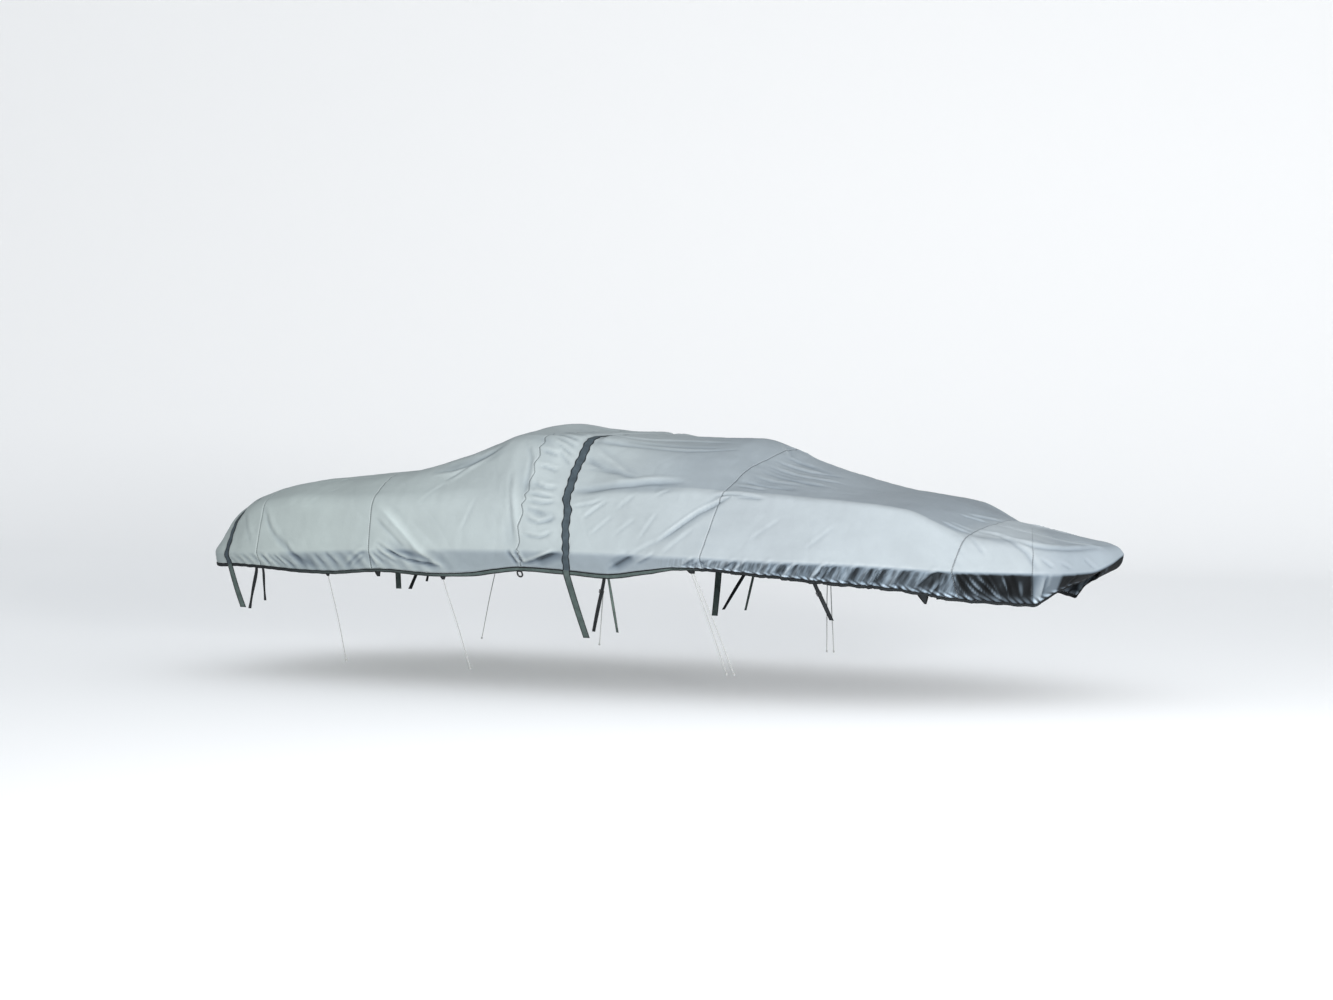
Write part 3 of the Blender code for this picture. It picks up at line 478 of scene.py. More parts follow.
def fold_depth(point, mirrored):
    """How far the folds take the cloth in from the smooth form."""
    depth = np.zeros(len(point))
    for deep, wide, *route in MAIN_FOLDS + FINE_FOLDS:
        deep, wide, route = deep * MM, wide * MM, np.array(route)
        broad = wide >= 50 * MM
        if mirrored and not broad:
            route = route + PORT_SHIFT
        route = smooth_form(route[:, 0], np.clip(route[:, 1], 0, RIDGE))
        if len(route) > 2:
            route = smooth_path(route, 0.06)
        low, high = route[:, 0].min() - wide - 0.05, route[:, 0].max() + wide + 0.05
        near_by = (point[:, 0] > low) & (point[:, 0] < high)
        if not near_by.any():
            continue
        nearest, signed, travelled = along_route(route, point[near_by])
        # each dies out toward its ends; a crease has a sharp bottom and a raised lip beside it
        fade = np.clip(4 * travelled + 0.25, 0, 1) * np.clip(4 * (1 - travelled) + 0.25, 0, 1)
        if broad:
            depth[near_by] += 0.7 * deep * fade * np.clip(1 - (nearest / wide)**2, 0, 1)**2
            continue
        trough = np.clip(1 - nearest / wide, 0, 1)**1.7
        lip = np.clip(1 - (np.abs(signed - 0.9 * wide) / (1.1 * wide))**2, 0, 1)**2
        depth[near_by] += deep * fade * (trough - 0.45 * lip)
    return depth


def gather_depth(along, step, height):
    """The gathers of the drawn hem and the puckers along each seam."""
    low = np.clip(1.75 - step, 0, 1) * np.clip(0.5 + step, 0, 1)
    # sharp gathers 88 mm apart from the windshield's foot to the bow seam, uneven and leaning forward
    fore = ramp(along, 0.62, 0.6) * ramp(along, 2.32, -0.06)
    lean = along - 0.065 * step
    phase = lean / 0.088 + 0.45 * np.sin(TAU * lean / 0.31) + 0.3 * np.sin(TAU * lean / 0.17 + 1)
    ridge = (1 - np.abs(np.sin(math.pi * phase)))**1.6
    valley = (1 - np.abs(np.sin(math.pi * (phase + 0.24))))**1.6
    strength = 0.45 + 0.55 * np.sin(TAU * lean / 0.53 + 2)**2
    depth = fore * low * strength * (15 * valley - 12 * ridge) * MM
    # rounder ones 150 mm apart under them
    wave = np.cos(TAU * (lean - 0.95) / 0.15)
    depth += 6 * MM * ramp(along, 0.95, 0.25) * ramp(along, 2.95, -0.1) * low * wave
    # faint ones 100 mm apart on the aft quarter
    aft = ramp(along, -0.9, -0.3) * ramp(along, -2.9, 0.3)
    depth += 3 * MM * aft * low * np.sin(TAU * (along + 0.06 * step) / 0.10 + 3 * np.sin(3 * along))
    for station, (deep, pitch, reach) in SEAM_PUCKERS.items():
        away = np.abs(along - station)
        wave = 1 - np.abs(np.sin(math.pi * height / pitch + 0.8 * np.sin(TAU * height / 0.37)))
        fade = np.exp(-away / reach) * np.clip(step - 1.2, 0, 1)
        depth += deep * MM * fade * wave
    return depth


def strap_sink(along, step):
    """How far the over-straps, drawn tight, press into the cloth on top."""
    return sum(STRAP_SINK * ramp(np.abs(along - station), 0.075, -0.035) * ramp(step, first_step, 0.6)
               for _, station, _, _, _, first_step in OVER_STRAPS)


CREST = smooth_form(np.array([-0.65]), np.array([RIDGE]))[0]
ORIGIN = np.array([CREST[0], 0.0, CREST[2] - CLOTH - LIFT])


def cloth_and_hollow(along, step, side=1.0, lift=0.0):
    """Points on the cloth's outer face, or lift above it, in the model's frame, and its folds' depth."""
    along, step = np.broadcast_arrays(np.atleast_1d(np.asarray(along, float)), np.asarray(step, float))
    smooth = smooth_form(along, step)
    normal = form_normal(along, step)
    real = smooth * (1.0, side, 1.0)
    hollow = (fold_depth(smooth, side < 0)
              + gather_depth(along, step, np.linalg.norm(smooth * (0, 1, 1), axis=1)))
    # the cloth is never flat: broad and small unevenness and faint creases, held down under the strap
    crease = np.clip(1 - np.abs(crumple(real, 0.55, 5)) / 0.12, 0, 1)
    quiet = np.where(np.abs(along - STRAP_LEAN_ALONG) < 0.04, 0.3, 1.0)
    uneven = 1.6 * MM * crumple(real, 0.30, 2) + 0.8 * MM * crumple(real, 0.11, 3)
    uneven = quiet * uneven + 1.2 * MM * crease
    raised = smooth + normal * (lift - hollow - uneven - strap_sink(along, step))[:, None]
    return (raised - ORIGIN) * (1.0, side, 1.0), hollow


def cloth_points(along, step, side=1.0, lift=0.0):
    return cloth_and_hollow(along, step, side, lift)[0]


# ======== finishes
def linear(hex_colour):
    """The linear colour of an sRGB hex value."""
    parts = [int(hex_colour[i:i + 2], 16) / 255 for i in (1, 3, 5)]
    return tuple(c / 12.92 if c <= 0.04045 else ((c + 0.055) / 1.055)**2.4 for c in parts) + (1.0,)


def connect(tree, to, **links):
    """Links sources to a node's inputs, each named with _ for a space, or by its number after an _. A node
    given as a source stands for its colour if it mixes colours, or else its Fac or its first output."""
    for key, source in links.items():
        name = int(key[1:]) if key[0] == "_" else key.replace("_", " ")
        if isinstance(source, bpy.types.Node):
            outputs = source.outputs
            mixes_colour = getattr(source, "data_type", "") == "RGBA"
            source = outputs[2] if mixes_colour else outputs["Fac"] if "Fac" in outputs else outputs[0]
        tree.links.new(source, to.inputs[name])


def node(tree, kind, settings=None, **links):
    """Adds a shader node, with its settings by attribute or socket name and its links."""
    made = tree.nodes.new("ShaderNode" + kind)
    for key, value in (settings or {}).items():
        if isinstance(key, str) and hasattr(made, key):
            setattr(made, key, value)
        else:
            made.inputs[key].default_value = value
    connect(tree, made, **links)
    return made


def new_material(name, base, roughness, **sockets):
    material = bpy.data.materials.new(name)
    material.use_nodes = True
    shader = material.node_tree.nodes["Principled BSDF"]
    shader.inputs["Base Color"].default_value = linear(base)
    shader.inputs["Roughness"].default_value = roughness
    for key, value in sockets.items():
        shader.inputs[key.replace("_", " ")].default_value = value
    return material, material.node_tree, shader


def wave_scale(pitch):
    """The scale at which a wave texture repeats every so many metres."""
    return TAU / pitch / 20


def toned(tree, tint, level):
    """A tint made darker or lighter by a level."""
    grey = node(tree, "CombineColor", Red=level, Green=level, Blue=level)
    return node(tree, "Mix", {"data_type": "RGBA", "blend_type": "MULTIPLY", 0: 1.0}, _6=tint, _7=grey)


def coated_polyester():
    """Marine polyester, woven 600 denier and coated: matt with a soft sheen, a plain weave and faint mottling
    from handling, with painted shade where the hem turns under and in its folds, and painted highlights on
    ridges, puckers and creases."""
    material, tree, shader = new_material("coated_polyester_cloth", "#939A9C", 0.75,
                                          Specular_IOR_Level=0.15)
    place = node(tree, "TexCoord").outputs["Object"]
    thread = node(tree, "UVMap", {"uv_map": "cloth"})
    tone, cool, seam, drawn, tucked = [node(tree, "Attribute", {"attribute_name": name})
                                       for name in ("tone", "cool", "seam", "drawn", "tucked")]
    mottle = node(tree, "TexNoise", {"Scale": 3.0, "Detail": 5.0, "Roughness": 0.6}, Vector=place)
    # greener aft and bluer forward, and painted a little lighter aft to even out the key light's falloff
    tint = node(tree, "Mix", {"data_type": "RGBA", 6: linear("#959E9D"), 7: linear("#8F969A")}, _0=cool)
    # painted shade: the tint turns bluer as the painted tone darkens
    shaded = node(tree, "MapRange", {"From Min": 1.0, "From Max": 0.35}, Value=tone)
    tint = node(tree, "Mix", {"data_type": "RGBA", 7: linear("#82919E")}, _0=shaded, _6=tint)
    spots = node(tree, "MapRange", {"From Min": 0.3, "From Max": 0.7, "To Min": 0.93, "To Max": 1.05},
                 Value=mottle)
    # threads are 0.6 mm apart; they are drawn at 2 mm, as coarse as they need to be to show close to
    warp = node(tree, "TexWave", {"bands_direction": "X", "Scale": wave_scale(2 * MM)}, Vector=thread)
    weft = node(tree, "TexWave", {"bands_direction": "Y", "Scale": wave_scale(2 * MM)}, Vector=thread)
    weave = node(tree, "Math", {"operation": "MULTIPLY"}, _0=warp, _1=weft)
    # two rows of stitches, where the seam value is 4.5 and 7.5 mm, each stitch 7.6 mm long in every 12
    runs = node(tree, "SeparateXYZ", Vector=thread)
    dash = node(tree, "Math", {"operation": "PINGPONG", 1: 0.006}, _0=runs.outputs["Y"])
    dash = node(tree, "Math", {"operation": "GREATER_THAN", 1: 0.0022}, _0=dash)
    row = node(tree, "Math", {"operation": "PINGPONG", 1: 0.006}, _0=seam)
    row = node(tree, "Math", {"operation": "COMPARE", 1: 0.0045, 2: 0.0012}, _0=row)
    near = node(tree, "Math", {"operation": "LESS_THAN", 1: 0.013}, _0=seam)
    row = node(tree, "Math", {"operation": "MULTIPLY"}, _0=row, _1=near)
    stitch = node(tree, "Math", {"operation": "MULTIPLY"}, _0=row, _1=dash)
    edge = node(tree, "MapRange", {"From Max": 0.006, "To Min": 0.6, "To Max": 1.0}, Value=seam)
    sewn = node(tree, "MapRange", {"To Min": 1.0, "To Max": 0.72}, Value=stitch)
    # painted highlights and shade of tight puckers 22 mm apart along the drawn hem, in colour only
    pucker = node(tree, "TexWave", {"bands_direction": "DIAGONAL", "Scale": wave_scale(22 * MM) / 1.3,
                                    "Distortion": 4.0, "Detail": 1.0, "Detail Scale": 0.5}, Vector=thread)
    painted_pucker_light = node(tree, "MapRange", {"From Min": 0.1, "From Max": 0.8, "To Min": 0.25, "To Max": 2.8},
                Value=pucker)
    gathered = node(tree, "Mix", {"data_type": "FLOAT", 2: 1.0}, _0=drawn, _3=painted_pucker_light)
    # painted highlights and shade of fine creases 15 to 25 mm apart that lean forward up the drawn hem, in
    # colour only
    lean = node(tree, "Math", {"operation": "MULTIPLY_ADD", 1: -0.5}, _0=runs.outputs["Y"],
                _2=runs.outputs["X"])
    lean = node(tree, "CombineXYZ", X=lean, Y=runs.outputs["Y"])
    lean = node(tree, "Mapping", {"Scale": (46.0, 7.0, 1.0)}, Vector=lean)
    streak = node(tree, "TexNoise", {"Scale": 1.0, "Detail": 2.0}, Vector=lean)
    painted_crease_light = node(tree, "MapRange", {"From Min": 0.36, "From Max": 0.66, "To Min": 0.55, "To Max": 1.55},
                   Value=streak)
    painted_crease_light = node(tree, "Mix", {"data_type": "FLOAT", 2: 1.0}, _0=tucked, _3=painted_crease_light)
    # the painted tone times mottling, seam and stitch marks and the painted puckers and creases
    shade = tone
    for level in (spots, edge, sewn, gathered, painted_crease_light):
        shade = node(tree, "Math", {"operation": "MULTIPLY"}, _0=shade, _1=level)
    colour = toned(tree, tint, shade)
    wear = node(tree, "MapRange", {"To Min": 0.68, "To Max": 0.82}, Value=mottle)
    rumple = node(tree, "TexNoise", {"Scale": 9.0, "Detail": 4.0, "Roughness": 0.55}, Vector=place)
    bump = node(tree, "Bump", {"Strength": 0.5, "Distance": 0.006}, Height=rumple)
    bump = node(tree, "Bump", {"Strength": 0.25, "Distance": 0.0006}, Height=weave, Normal=bump)
    bump = node(tree, "Bump", {"Strength": 0.6, "Distance": 0.0012, "invert": True},
                Height=stitch, Normal=bump)
    connect(tree, shader, Base_Color=colour, Roughness=wear, Normal=bump)
    return material


def webbing(name, base, edge_colour, wide):
    """Woven polypropylene webbing: dull, with cross ribs 3 mm apart, a darker woven edge, and a paler
    grey-green where a point's value asks for it; on the over-straps' tails, which hang in the light, that is
    painted light."""
    material, tree, shader = new_material(name, base, 0.8, Specular_IOR_Level=0.2)
    thread = node(tree, "UVMap", {"uv_map": "cloth"})
    place = node(tree, "TexCoord").outputs["Object"]
    runs = node(tree, "SeparateXYZ", Vector=thread)
    across = node(tree, "Math", {"operation": "ABSOLUTE"}, _0=runs.outputs["X"])
    rim = node(tree, "MapRange", {"From Min": wide * 0.36, "From Max": wide * 0.44}, Value=across)
    dust = node(tree, "TexNoise", {"Scale": 22.0, "Detail": 4.0}, Vector=place)
    pale_share = node(tree, "Attribute", {"attribute_name": "pale_share"})
    tint = node(tree, "Mix", {"data_type": "RGBA", 6: linear(base), 7: linear("#434E4C")}, _0=pale_share)
    tint = node(tree, "Mix", {"data_type": "RGBA", 7: linear(edge_colour)}, _0=rim, _6=tint)
    level = node(tree, "MapRange", {"From Min": 0.3, "From Max": 0.7, "To Min": 0.75, "To Max": 1.25},
                 Value=dust)
    colour = toned(tree, tint, level)
    rib = node(tree, "TexWave", {"bands_direction": "Y", "Scale": wave_scale(3 * MM)}, Vector=thread)
    twill = node(tree, "TexWave", {"bands_direction": "DIAGONAL", "Scale": wave_scale(5 * MM)}, Vector=thread)
    both = node(tree, "Math", {"operation": "MULTIPLY_ADD", 1: 0.5}, _0=twill, _2=rib)
    bump = node(tree, "Bump", {"Strength": 0.5, "Distance": 0.0008}, Height=both)
    connect(tree, shader, Base_Color=colour, Normal=bump)
    return material


def moulded_acetal():
    """Injection-moulded acetal: black, half matt, with a fine spark-eroded grain."""
    material, tree, shader = new_material("moulded_acetal", "#17191A", 0.42, IOR=1.48)
    place = node(tree, "TexCoord").outputs["Object"]
    grain = node(tree, "TexNoise", {"Scale": 900.0, "Detail": 2.0}, Vector=place)
    scuff = node(tree, "TexNoise", {"Scale": 60.0, "Detail": 3.0}, Vector=place)
    rough = node(tree, "MapRange", {"To Min": 0.32, "To Max": 0.55}, Value=scuff)
    bump = node(tree, "Bump", {"Strength": 0.25, "Distance": 0.0003}, Height=grain)
    connect(tree, shader, Roughness=rough, Normal=bump)
    return material


def laid_rope():
    """Three-strand nylon rope: white, with painted shade in the lay between the strands."""
    material, tree, shader = new_material("laid_nylon_rope", "#E6E6E1", 0.7, Specular_IOR_Level=0.3)
    place = node(tree, "TexCoord").outputs["Object"]
    lay = node(tree, "Attribute", {"attribute_name": "tone"})
    # painted shade: darker down in the lay between the strands
    tint = node(tree, "Mix", {"data_type": "RGBA", 6: linear("#5C5F5E"), 7: linear("#C4C6C4")}, _0=lay)
    fibre = node(tree, "TexNoise", {"Scale": 600.0, "Detail": 3.0}, Vector=place)
    bump = node(tree, "Bump", {"Strength": 0.3, "Distance": 0.0004}, Height=fibre)
    connect(tree, shader, Base_Color=tint, Normal=bump)
    return material


CLOTH_FINISH = coated_polyester()
STRAP_FINISH = webbing("polypropylene_webbing_slate", "#3A444A", "#060708", OVER_STRAP_WIDE)
TIE_FINISH = webbing("polypropylene_webbing_black", "#1B1E20", "#101213", 0.028)
TIE_GREY_FINISH = webbing("polypropylene_webbing_grey", "#4B5652", "#1E2322", 0.018)
BINDING_FINISH = webbing("polyester_binding_tape", "#1C2022", "#08090A", 0.018)
PLASTIC_FINISH = moulded_acetal()
ROPE_FINISH = laid_rope()


# ======== making pieces
def finish_piece(piece, finish, nodes):
    piece.data.materials.clear()
    piece.data.materials.append(finish)
    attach(piece, "root")
    if nodes:
        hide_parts(*nodes)


def spread(first, second):
    """A grid of pairs, the first value changing down the columns and the second along the rows."""
    return np.stack(np.meshgrid(first, second, indexing="ij"), -1)


def grid_mesh(name, grid, uv, values=None, flip=False, closed_rows=False, merge=False):
    """A sheet from a grid of points, with its UV map in metres and its named values at the points."""
    columns, rows = grid.shape[:2]
    index = np.arange(columns * rows).reshape(columns, rows)
    if closed_rows:
        index = np.concatenate([index, index[:, :1]], axis=1)
    quads = np.stack([index[:-1, :-1], index[1:, :-1], index[1:, 1:], index[:-1, 1:]], -1).reshape(-1, 4)
    if flip:
        quads = quads[:, ::-1]
    data = bpy.data.meshes.new(name)
    data.from_pydata(grid.reshape(-1, 3).tolist(), [], quads.tolist())
    layer = data.uv_layers.new(name="cloth")
    layer.data.foreach_set("uv", uv.reshape(-1, 2)[quads.reshape(-1)].astype(np.float32).ravel())
    for key, value in (values or {}).items():
        stored = data.attributes.new(key, "FLOAT", "POINT")
        stored.data.foreach_set("value", value.reshape(-1).astype(np.float32))
    if merge:
        joined = bmesh.new()
        joined.from_mesh(data)
        bmesh.ops.remove_doubles(joined, verts=joined.verts, dist=2e-5)
        joined.to_mesh(data)
        joined.free()
    data.shade_smooth()
    piece = bpy.data.objects.new(name, data)
    bpy.context.scene.collection.objects.link(piece)
    return piece


def thicken(piece, thickness, offset):
    solid = piece.modifiers.new("thickness", "SOLIDIFY")
    solid.thickness = thickness
    solid.offset = offset
    solid.use_even_offset = False


def section_rows():
    """Height steps of the rows of cloth, from the hem to the ridge."""
    steps = [np.linspace(index, index + 1, count, endpoint=False) for index, count in enumerate(ROWS)]
    return np.concatenate([*steps, [RIDGE]])


def painted_light_of(along, step, hollow):
    """The cloth's painted light: painted shade where it turns under at the hem, darkest under the bow, and in
    the bottoms of its folds, with painted highlights on their ridges."""
    # painted shade where the cloth turns under below the rail, deepest under the bow
    tuck = np.interp(step, [0.0, 0.3, 1.25, 1.85], [0.85, 1.0, 1.0, 0.0])
    deep = np.interp(along, [-4.1, -2.35, -2.15, -1.7, -1.55, -1.1, -0.9, 0.7, 1.2, 1.6, 2.29, 2.33, 2.79,
                             2.82, 2.99, 3.01, 3.5],
                     [0.93, 0.93, 0.74, 0.74, 0.86, 0.86, 0.76, 0.72, 0.46, 0.38, 0.28, 0.03, 0.02,
                      0.50, 0.45, 0.02, 0.02])
    tone = 1 - tuck * (1 - deep)
    # painted shade in the bottoms of the folds and painted highlight on their ridges, strongest in the tuck
    relief = np.clip(hollow / np.interp(along, [0.6, 0.9], [18 * MM, 12 * MM]), -1.3, 1)
    fall = np.clip(1 - (0.22 + 0.55 * tuck) * relief, 0.2, 1.8)
    # painted highlight: the raised folds of the fan under the bow catch the light
    fan = tuck * ramp(along, 2.30, 0.02) * ramp(along, 2.80, -0.02)
    # painted shade on the roof forward, where light only grazes it, and a little painted light on the bow's
    # deck; the cap is darker toward its tip
    roof = (ramp(step, 3.9, 0.15)
            * np.interp(along, [0.1, 0.5, 1.8, 2.0, 2.2, 2.30, 2.32], [0, 0.9, 0.9, 1.3, 1.3, 0.4, -0.8]))
    cap = np.interp(along, [2.74, 3.04], [0, 1]) * (1 - tuck)
    return tone * fall * (1 - 0.14 * roof) * (1 - 0.22 * cap) + 0.55 * fan * np.clip(-relief - 0.45, 0, 1)


def seam_wander(along, step):
    """How far a seam strays from its station: a little for most, and a zigzag for the gathered one."""
    shift = np.zeros(along.shape)
    for station in SEAM_PUCKERS:
        near = np.clip(1 - np.abs(along - station) / 0.10, 0, 1)
        if station == CREST_SEAM:
            high = step * 0.155
            saw = np.abs(((high + 0.03 * np.sin(9 * high)) / 0.085) % 1 * 2 - 1) * 2 - 1
            shift += near * (11 * MM * saw + 6 * MM * np.sin(step * 1.9))
        else:
            shift += near * 3 * MM * np.sin(step * 2.3 + 5 * station)
    return shift * within_edges(step)


def over_ridge(starboard, port):
    """The two halves of a panel as one, from hem to hem, with the ridge they share once."""
    return np.concatenate([starboard, port[:, -2::-1]], axis=1)


def stitch_place(along, step, start, end):
    """How far each point of a panel lies from its seams, as the stitches take it. A seam laps, so its
    stitches lie nearer to it on the panel aft. They lie farther from the bow seam than from the others, and
    those of the cap's seam end at its shoulder."""
    place = np.full(along.shape, 1.0)
    if start != STERN:
        place = np.minimum(place, np.abs(along - start))
    if end != BOW:
        place = np.minimum(place, np.abs(along - end) + 0.004)
    place += np.where(np.abs(along - CAP_SEAM) < 0.1, 0.02 * np.clip(step - 3.0, 0, 1), 0.0)
    return place + np.where(np.abs(along - BOW_SEAM) > 0.1, 0.002, 0.0)


def make_cloth():
    """The sewn panels, each one sheet from hem to hem, held by its seams, the straps and the draw rope."""
    rows = section_rows()
    for name, start, end, spacing in PANELS:
        columns = np.linspace(start, end, round((end - start) / spacing) + 1)
        columns[0] += 0.0 if start == STERN else SEAM_GAP
        columns[-1] -= 0.0 if end == BOW else SEAM_GAP
        along, step = np.meshgrid(columns, rows, indexing="ij")
        placed = along + seam_wander(along, step)
        halves, hollows, girths = [], [], []
        for _, side in SIDES:
            points, hollow = cloth_and_hollow(placed.ravel(), step.ravel(), side)
            halves.append(points.reshape(*along.shape, 3))
            hollows.append(hollow.reshape(along.shape))
            girths.append(np.array([run_lengths(column) for column in halves[-1]]))
        along, step = over_ridge(along, along), over_ridge(step, step)
        reach = over_ridge(girths[0], 2 * girths[0][:, -1:] - girths[1])
        # tone is the cloth's painted light; drawn and tucked mark where the painted puckers and creases lie
        values = {"tone": painted_light_of(along, step, over_ridge(*hollows)),
                  "seam": stitch_place(along, step, start, end),
                  "cool": ramp(along, -2.0, 3.0),
                  "drawn": ramp(along, 0.55, 0.4) * np.clip(1.2 - step / 0.25, 0, 1),
                  "tucked": ramp(along, 0.5, 0.5) * ramp(step, 1.5, -0.3) * ramp(along, 2.36, -0.06)}
        piece = grid_mesh(name + "_cloth", over_ridge(*halves), np.stack([along, reach], -1), values,
                          merge=start == STERN or end == BOW)
        thicken(piece, CLOTH, -1.0)
        finish_piece(piece, CLOTH_FINISH, [name])


class HemPlace:
    """A place on the hem: the cloth's edge there, and which way is down the cloth, along the hem and out."""

    def __init__(self, along, side):
        self.edge = cloth_points(along, 0.0, side)[0]
        self.down = unit(self.edge - cloth_points(along, 1.0, side)[0])
        self.forward = unit(cloth_points(along + 0.012, 0.0, side)[0]
                            - cloth_points(along - 0.012, 0.0, side)[0])
        self.inboard = np.array([0.0, side, 0.0])
        out = np.cross(self.forward, self.down)
        self.out = unit(out if out[1] * side < 0 else -out)

    def under_binding(self, extra=0.0):
        return self.edge + self.down * (2 * LIFT + BINDING_TALL + extra) - self.out * BINDING_THICK / 2

    def hung_end(self, drop, inward, forward):
        """Where something that hangs from the hem here ends."""
        return self.edge + self.inboard * inward + np.array([forward, 0.0, -drop])


def evened(vectors, wide=17):
    """Vectors along a line, each the mean of those about it."""
    padded = np.pad(vectors, ((wide // 2, wide // 2), (0, 0)), mode="edge")
    return np.stack([np.convolve(column, np.ones(wide) / wide, "valid") for column in padded.T], -1)


def make_binding():
    """Tape folded round the hem with the draw rope inside: flat amidships, gathered where it is drawn."""
    along = np.concatenate([np.arange(STERN, -2.2, 0.005), np.arange(-2.2, 0.4, 0.008),
                            np.arange(0.4, BOW - 0.003, 0.004), [BOW]])
    tall = BINDING_TALL + 9 * MM * np.interp(along, [-0.95, -0.75, 0.45, 0.65], [0, 1, 1, 0])
    # the tape is a paler grey-green amidships
    pale_share = np.interp(along, [-2.3, -1.9, -1.2, -0.9, 0.55, 0.85], [0, 0.4, 0.4, 1, 1, 0])
    drawn = ramp(along, 0.35, 0.5) + ramp(along, -2.25, -0.3) * 0.8
    shares = np.linspace(0, 1, 7)
    grids = []
    for _, side in SIDES:
        edge = cloth_points(along, np.zeros(len(along)), side)
        down = evened(unit_rows(edge - cloth_points(along, np.ones(len(along)), side)))
        out = unit_rows(np.cross(evened(np.gradient(edge, axis=0)), down) * -side)
        columns = []
        for share in shares:
            belly = math.sin(math.pi * share)**0.5
            twist = np.sin(TAU * (along / 0.024 + share * 0.9) + 1.5 * np.sin(9 * along))
            bulge = 2.2 * MM * belly * (1 + 0.15 * np.sin(TAU * along / 0.17))
            puff = bulge + drawn * (1.8 * MM * twist * belly)
            columns.append(edge + down * (LIFT + tall * share)[:, None] + out * puff[:, None])
        grids.append(np.stack(columns, axis=1))
    # round the hem from the stern along starboard, and back to the stern along port
    grid = np.concatenate([grids[0], grids[1][-2:0:-1], grids[0][:1]])
    pale_share = np.concatenate([pale_share, pale_share[-2::-1]])
    uv = spread(run_lengths(grid[:, 0]), (shares - 0.5) * BINDING_TALL)[..., ::-1]
    piece = grid_mesh("hem_binding_tape", grid, uv, {"pale_share": np.repeat(pale_share, len(shares))}, flip=True,
                      merge=True)
    thicken(piece, BINDING_THICK, -1.0)
    finish_piece(piece, BINDING_FINISH, ["hem_binding"])


def strip(name, left, right, run, finish, nodes=(), thickness=WEBBING_THICK, crown=None):
    """A flat strip of webbing between two edge lines, with its middle raised the crown's way, if any."""
    shares = np.linspace(0, 1, 7)
    grid = np.stack([left + (right - left) * share for share in shares], axis=0)
    if crown is not None:
        grid += crown * (TAB_CROWN * (1 - (2 * shares - 1)**2))[:, None, None]
    wide = np.linalg.norm(right - left, axis=1).mean()
    piece = grid_mesh(name, grid, spread((shares - 0.5) * wide, run))
    thicken(piece, thickness, 0.0)
    finish_piece(piece, finish, nodes)


def make_over_straps():
    """The two straps over the cover, each from one free tail to the other, wavering and edge-rippled."""
    rows = section_rows()
    half = OVER_STRAP_WIDE / 2
    offsets = np.linspace(-half, half, 9)
    for name, along, drop, inward, forward, _ in OVER_STRAPS:
        lines = []
        for offset in offsets:
            halves = []
            for _, side in SIDES:
                place = HemPlace(along, side)
                far = run_lengths(cloth_points(along, rows, side))
                sway = 5 * MM * np.sin(rows * 4.4 + 0.9 * np.sin(rows * 2.1))
                ripple = np.sin(TAU * far / 0.085 + (2.4 if offset > 0 else 0))
                sway += 3.5 * MM * ripple * (offset / half)**2
                over = cloth_points(along + offset + sway * within_edges(rows), rows, side, OVER_STRAP_LIFT)
                past = over[0] + place.down * (BINDING_TALL + 2 * MM) + place.out * 2.0 * MM
                bottom = place.hung_end(drop, inward, forward + offset * 0.9) + place.out * MM
                middle = past * 0.5 + bottom * 0.5 + place.inboard * -6 * MM
                tail = smooth_path([bottom, middle, past, over[0]], 0.02)[:-1]
                halves.append(np.vstack([tail, over]))
            lines.append(np.vstack([halves[0], halves[1][-2::-1]]))
        grid = np.stack(lines, axis=0)
        run = run_lengths(grid[len(offsets) // 2])
        # painted light: only the tails, which hang in the light, are painted paler
        ends = np.arange(len(run))
        pale_share = np.clip(len(tail) - np.minimum(ends, ends[::-1]), 0, 1) * np.ones((len(offsets), 1))
        piece = grid_mesh(name + "_webbing", grid, spread(offsets, run), {"pale_share": pale_share})
        thicken(piece, WEBBING_THICK, 1.0)
        finish_piece(piece, STRAP_FINISH, [name])


def tie_line(tie, side):
    """A tie's place on the hem and its middle line from under the binding to its free end."""
    _, along, drop, inward, forward, _ = tie
    place = HemPlace(along, side)
    top = place.under_binding(-3 * MM)
    bottom = place.hung_end(drop, inward, forward)
    knee = top + (bottom - top) * TIE_KNEE + place.down * 0.008
    lower = top * (1 - TIE_BEND) + bottom * TIE_BEND
    return place, smooth_path([top, knee, lower, bottom], 0.012)


def make_ties():
    for side_name, side in SIDES:
        for tie in TIES:
            name, along, *_, wide = tie
            place, line = tie_line(tie, side)
            wobble = 0.22 * np.sin(np.linspace(0, 1, len(line)) * 7.0 + along * 9)
            flat = unit(place.forward * (1, 1, 0))
            face = unit_rows(np.cross(unit_rows(np.gradient(line, axis=0)), flat))
            side_way = flat[None] * np.cos(wobble)[:, None] + face * np.sin(wobble)[:, None]
            strip(f"{name}_{side_name}_webbing", line - side_way * wide / 2, line + side_way * wide / 2,
                  run_lengths(line), TIE_GREY_FINISH if name == "tie_mid_fore" else TIE_FINISH,
                  nodes=[f"{name}_{side_name}"])


def axes_matrix(centre, x_way, y_way, z_way):
    """The place whose axes point these ways from its centre."""
    return Matrix(np.vstack([np.stack([x_way, y_way, z_way, centre], -1), (0, 0, 0, 1)]).tolist())


def settle(piece, matrix):
    """Puts a piece made at the origin into its place, with the place in its mesh."""
    piece.data.transform(matrix)
    piece.matrix_world = Matrix.Identity(4)


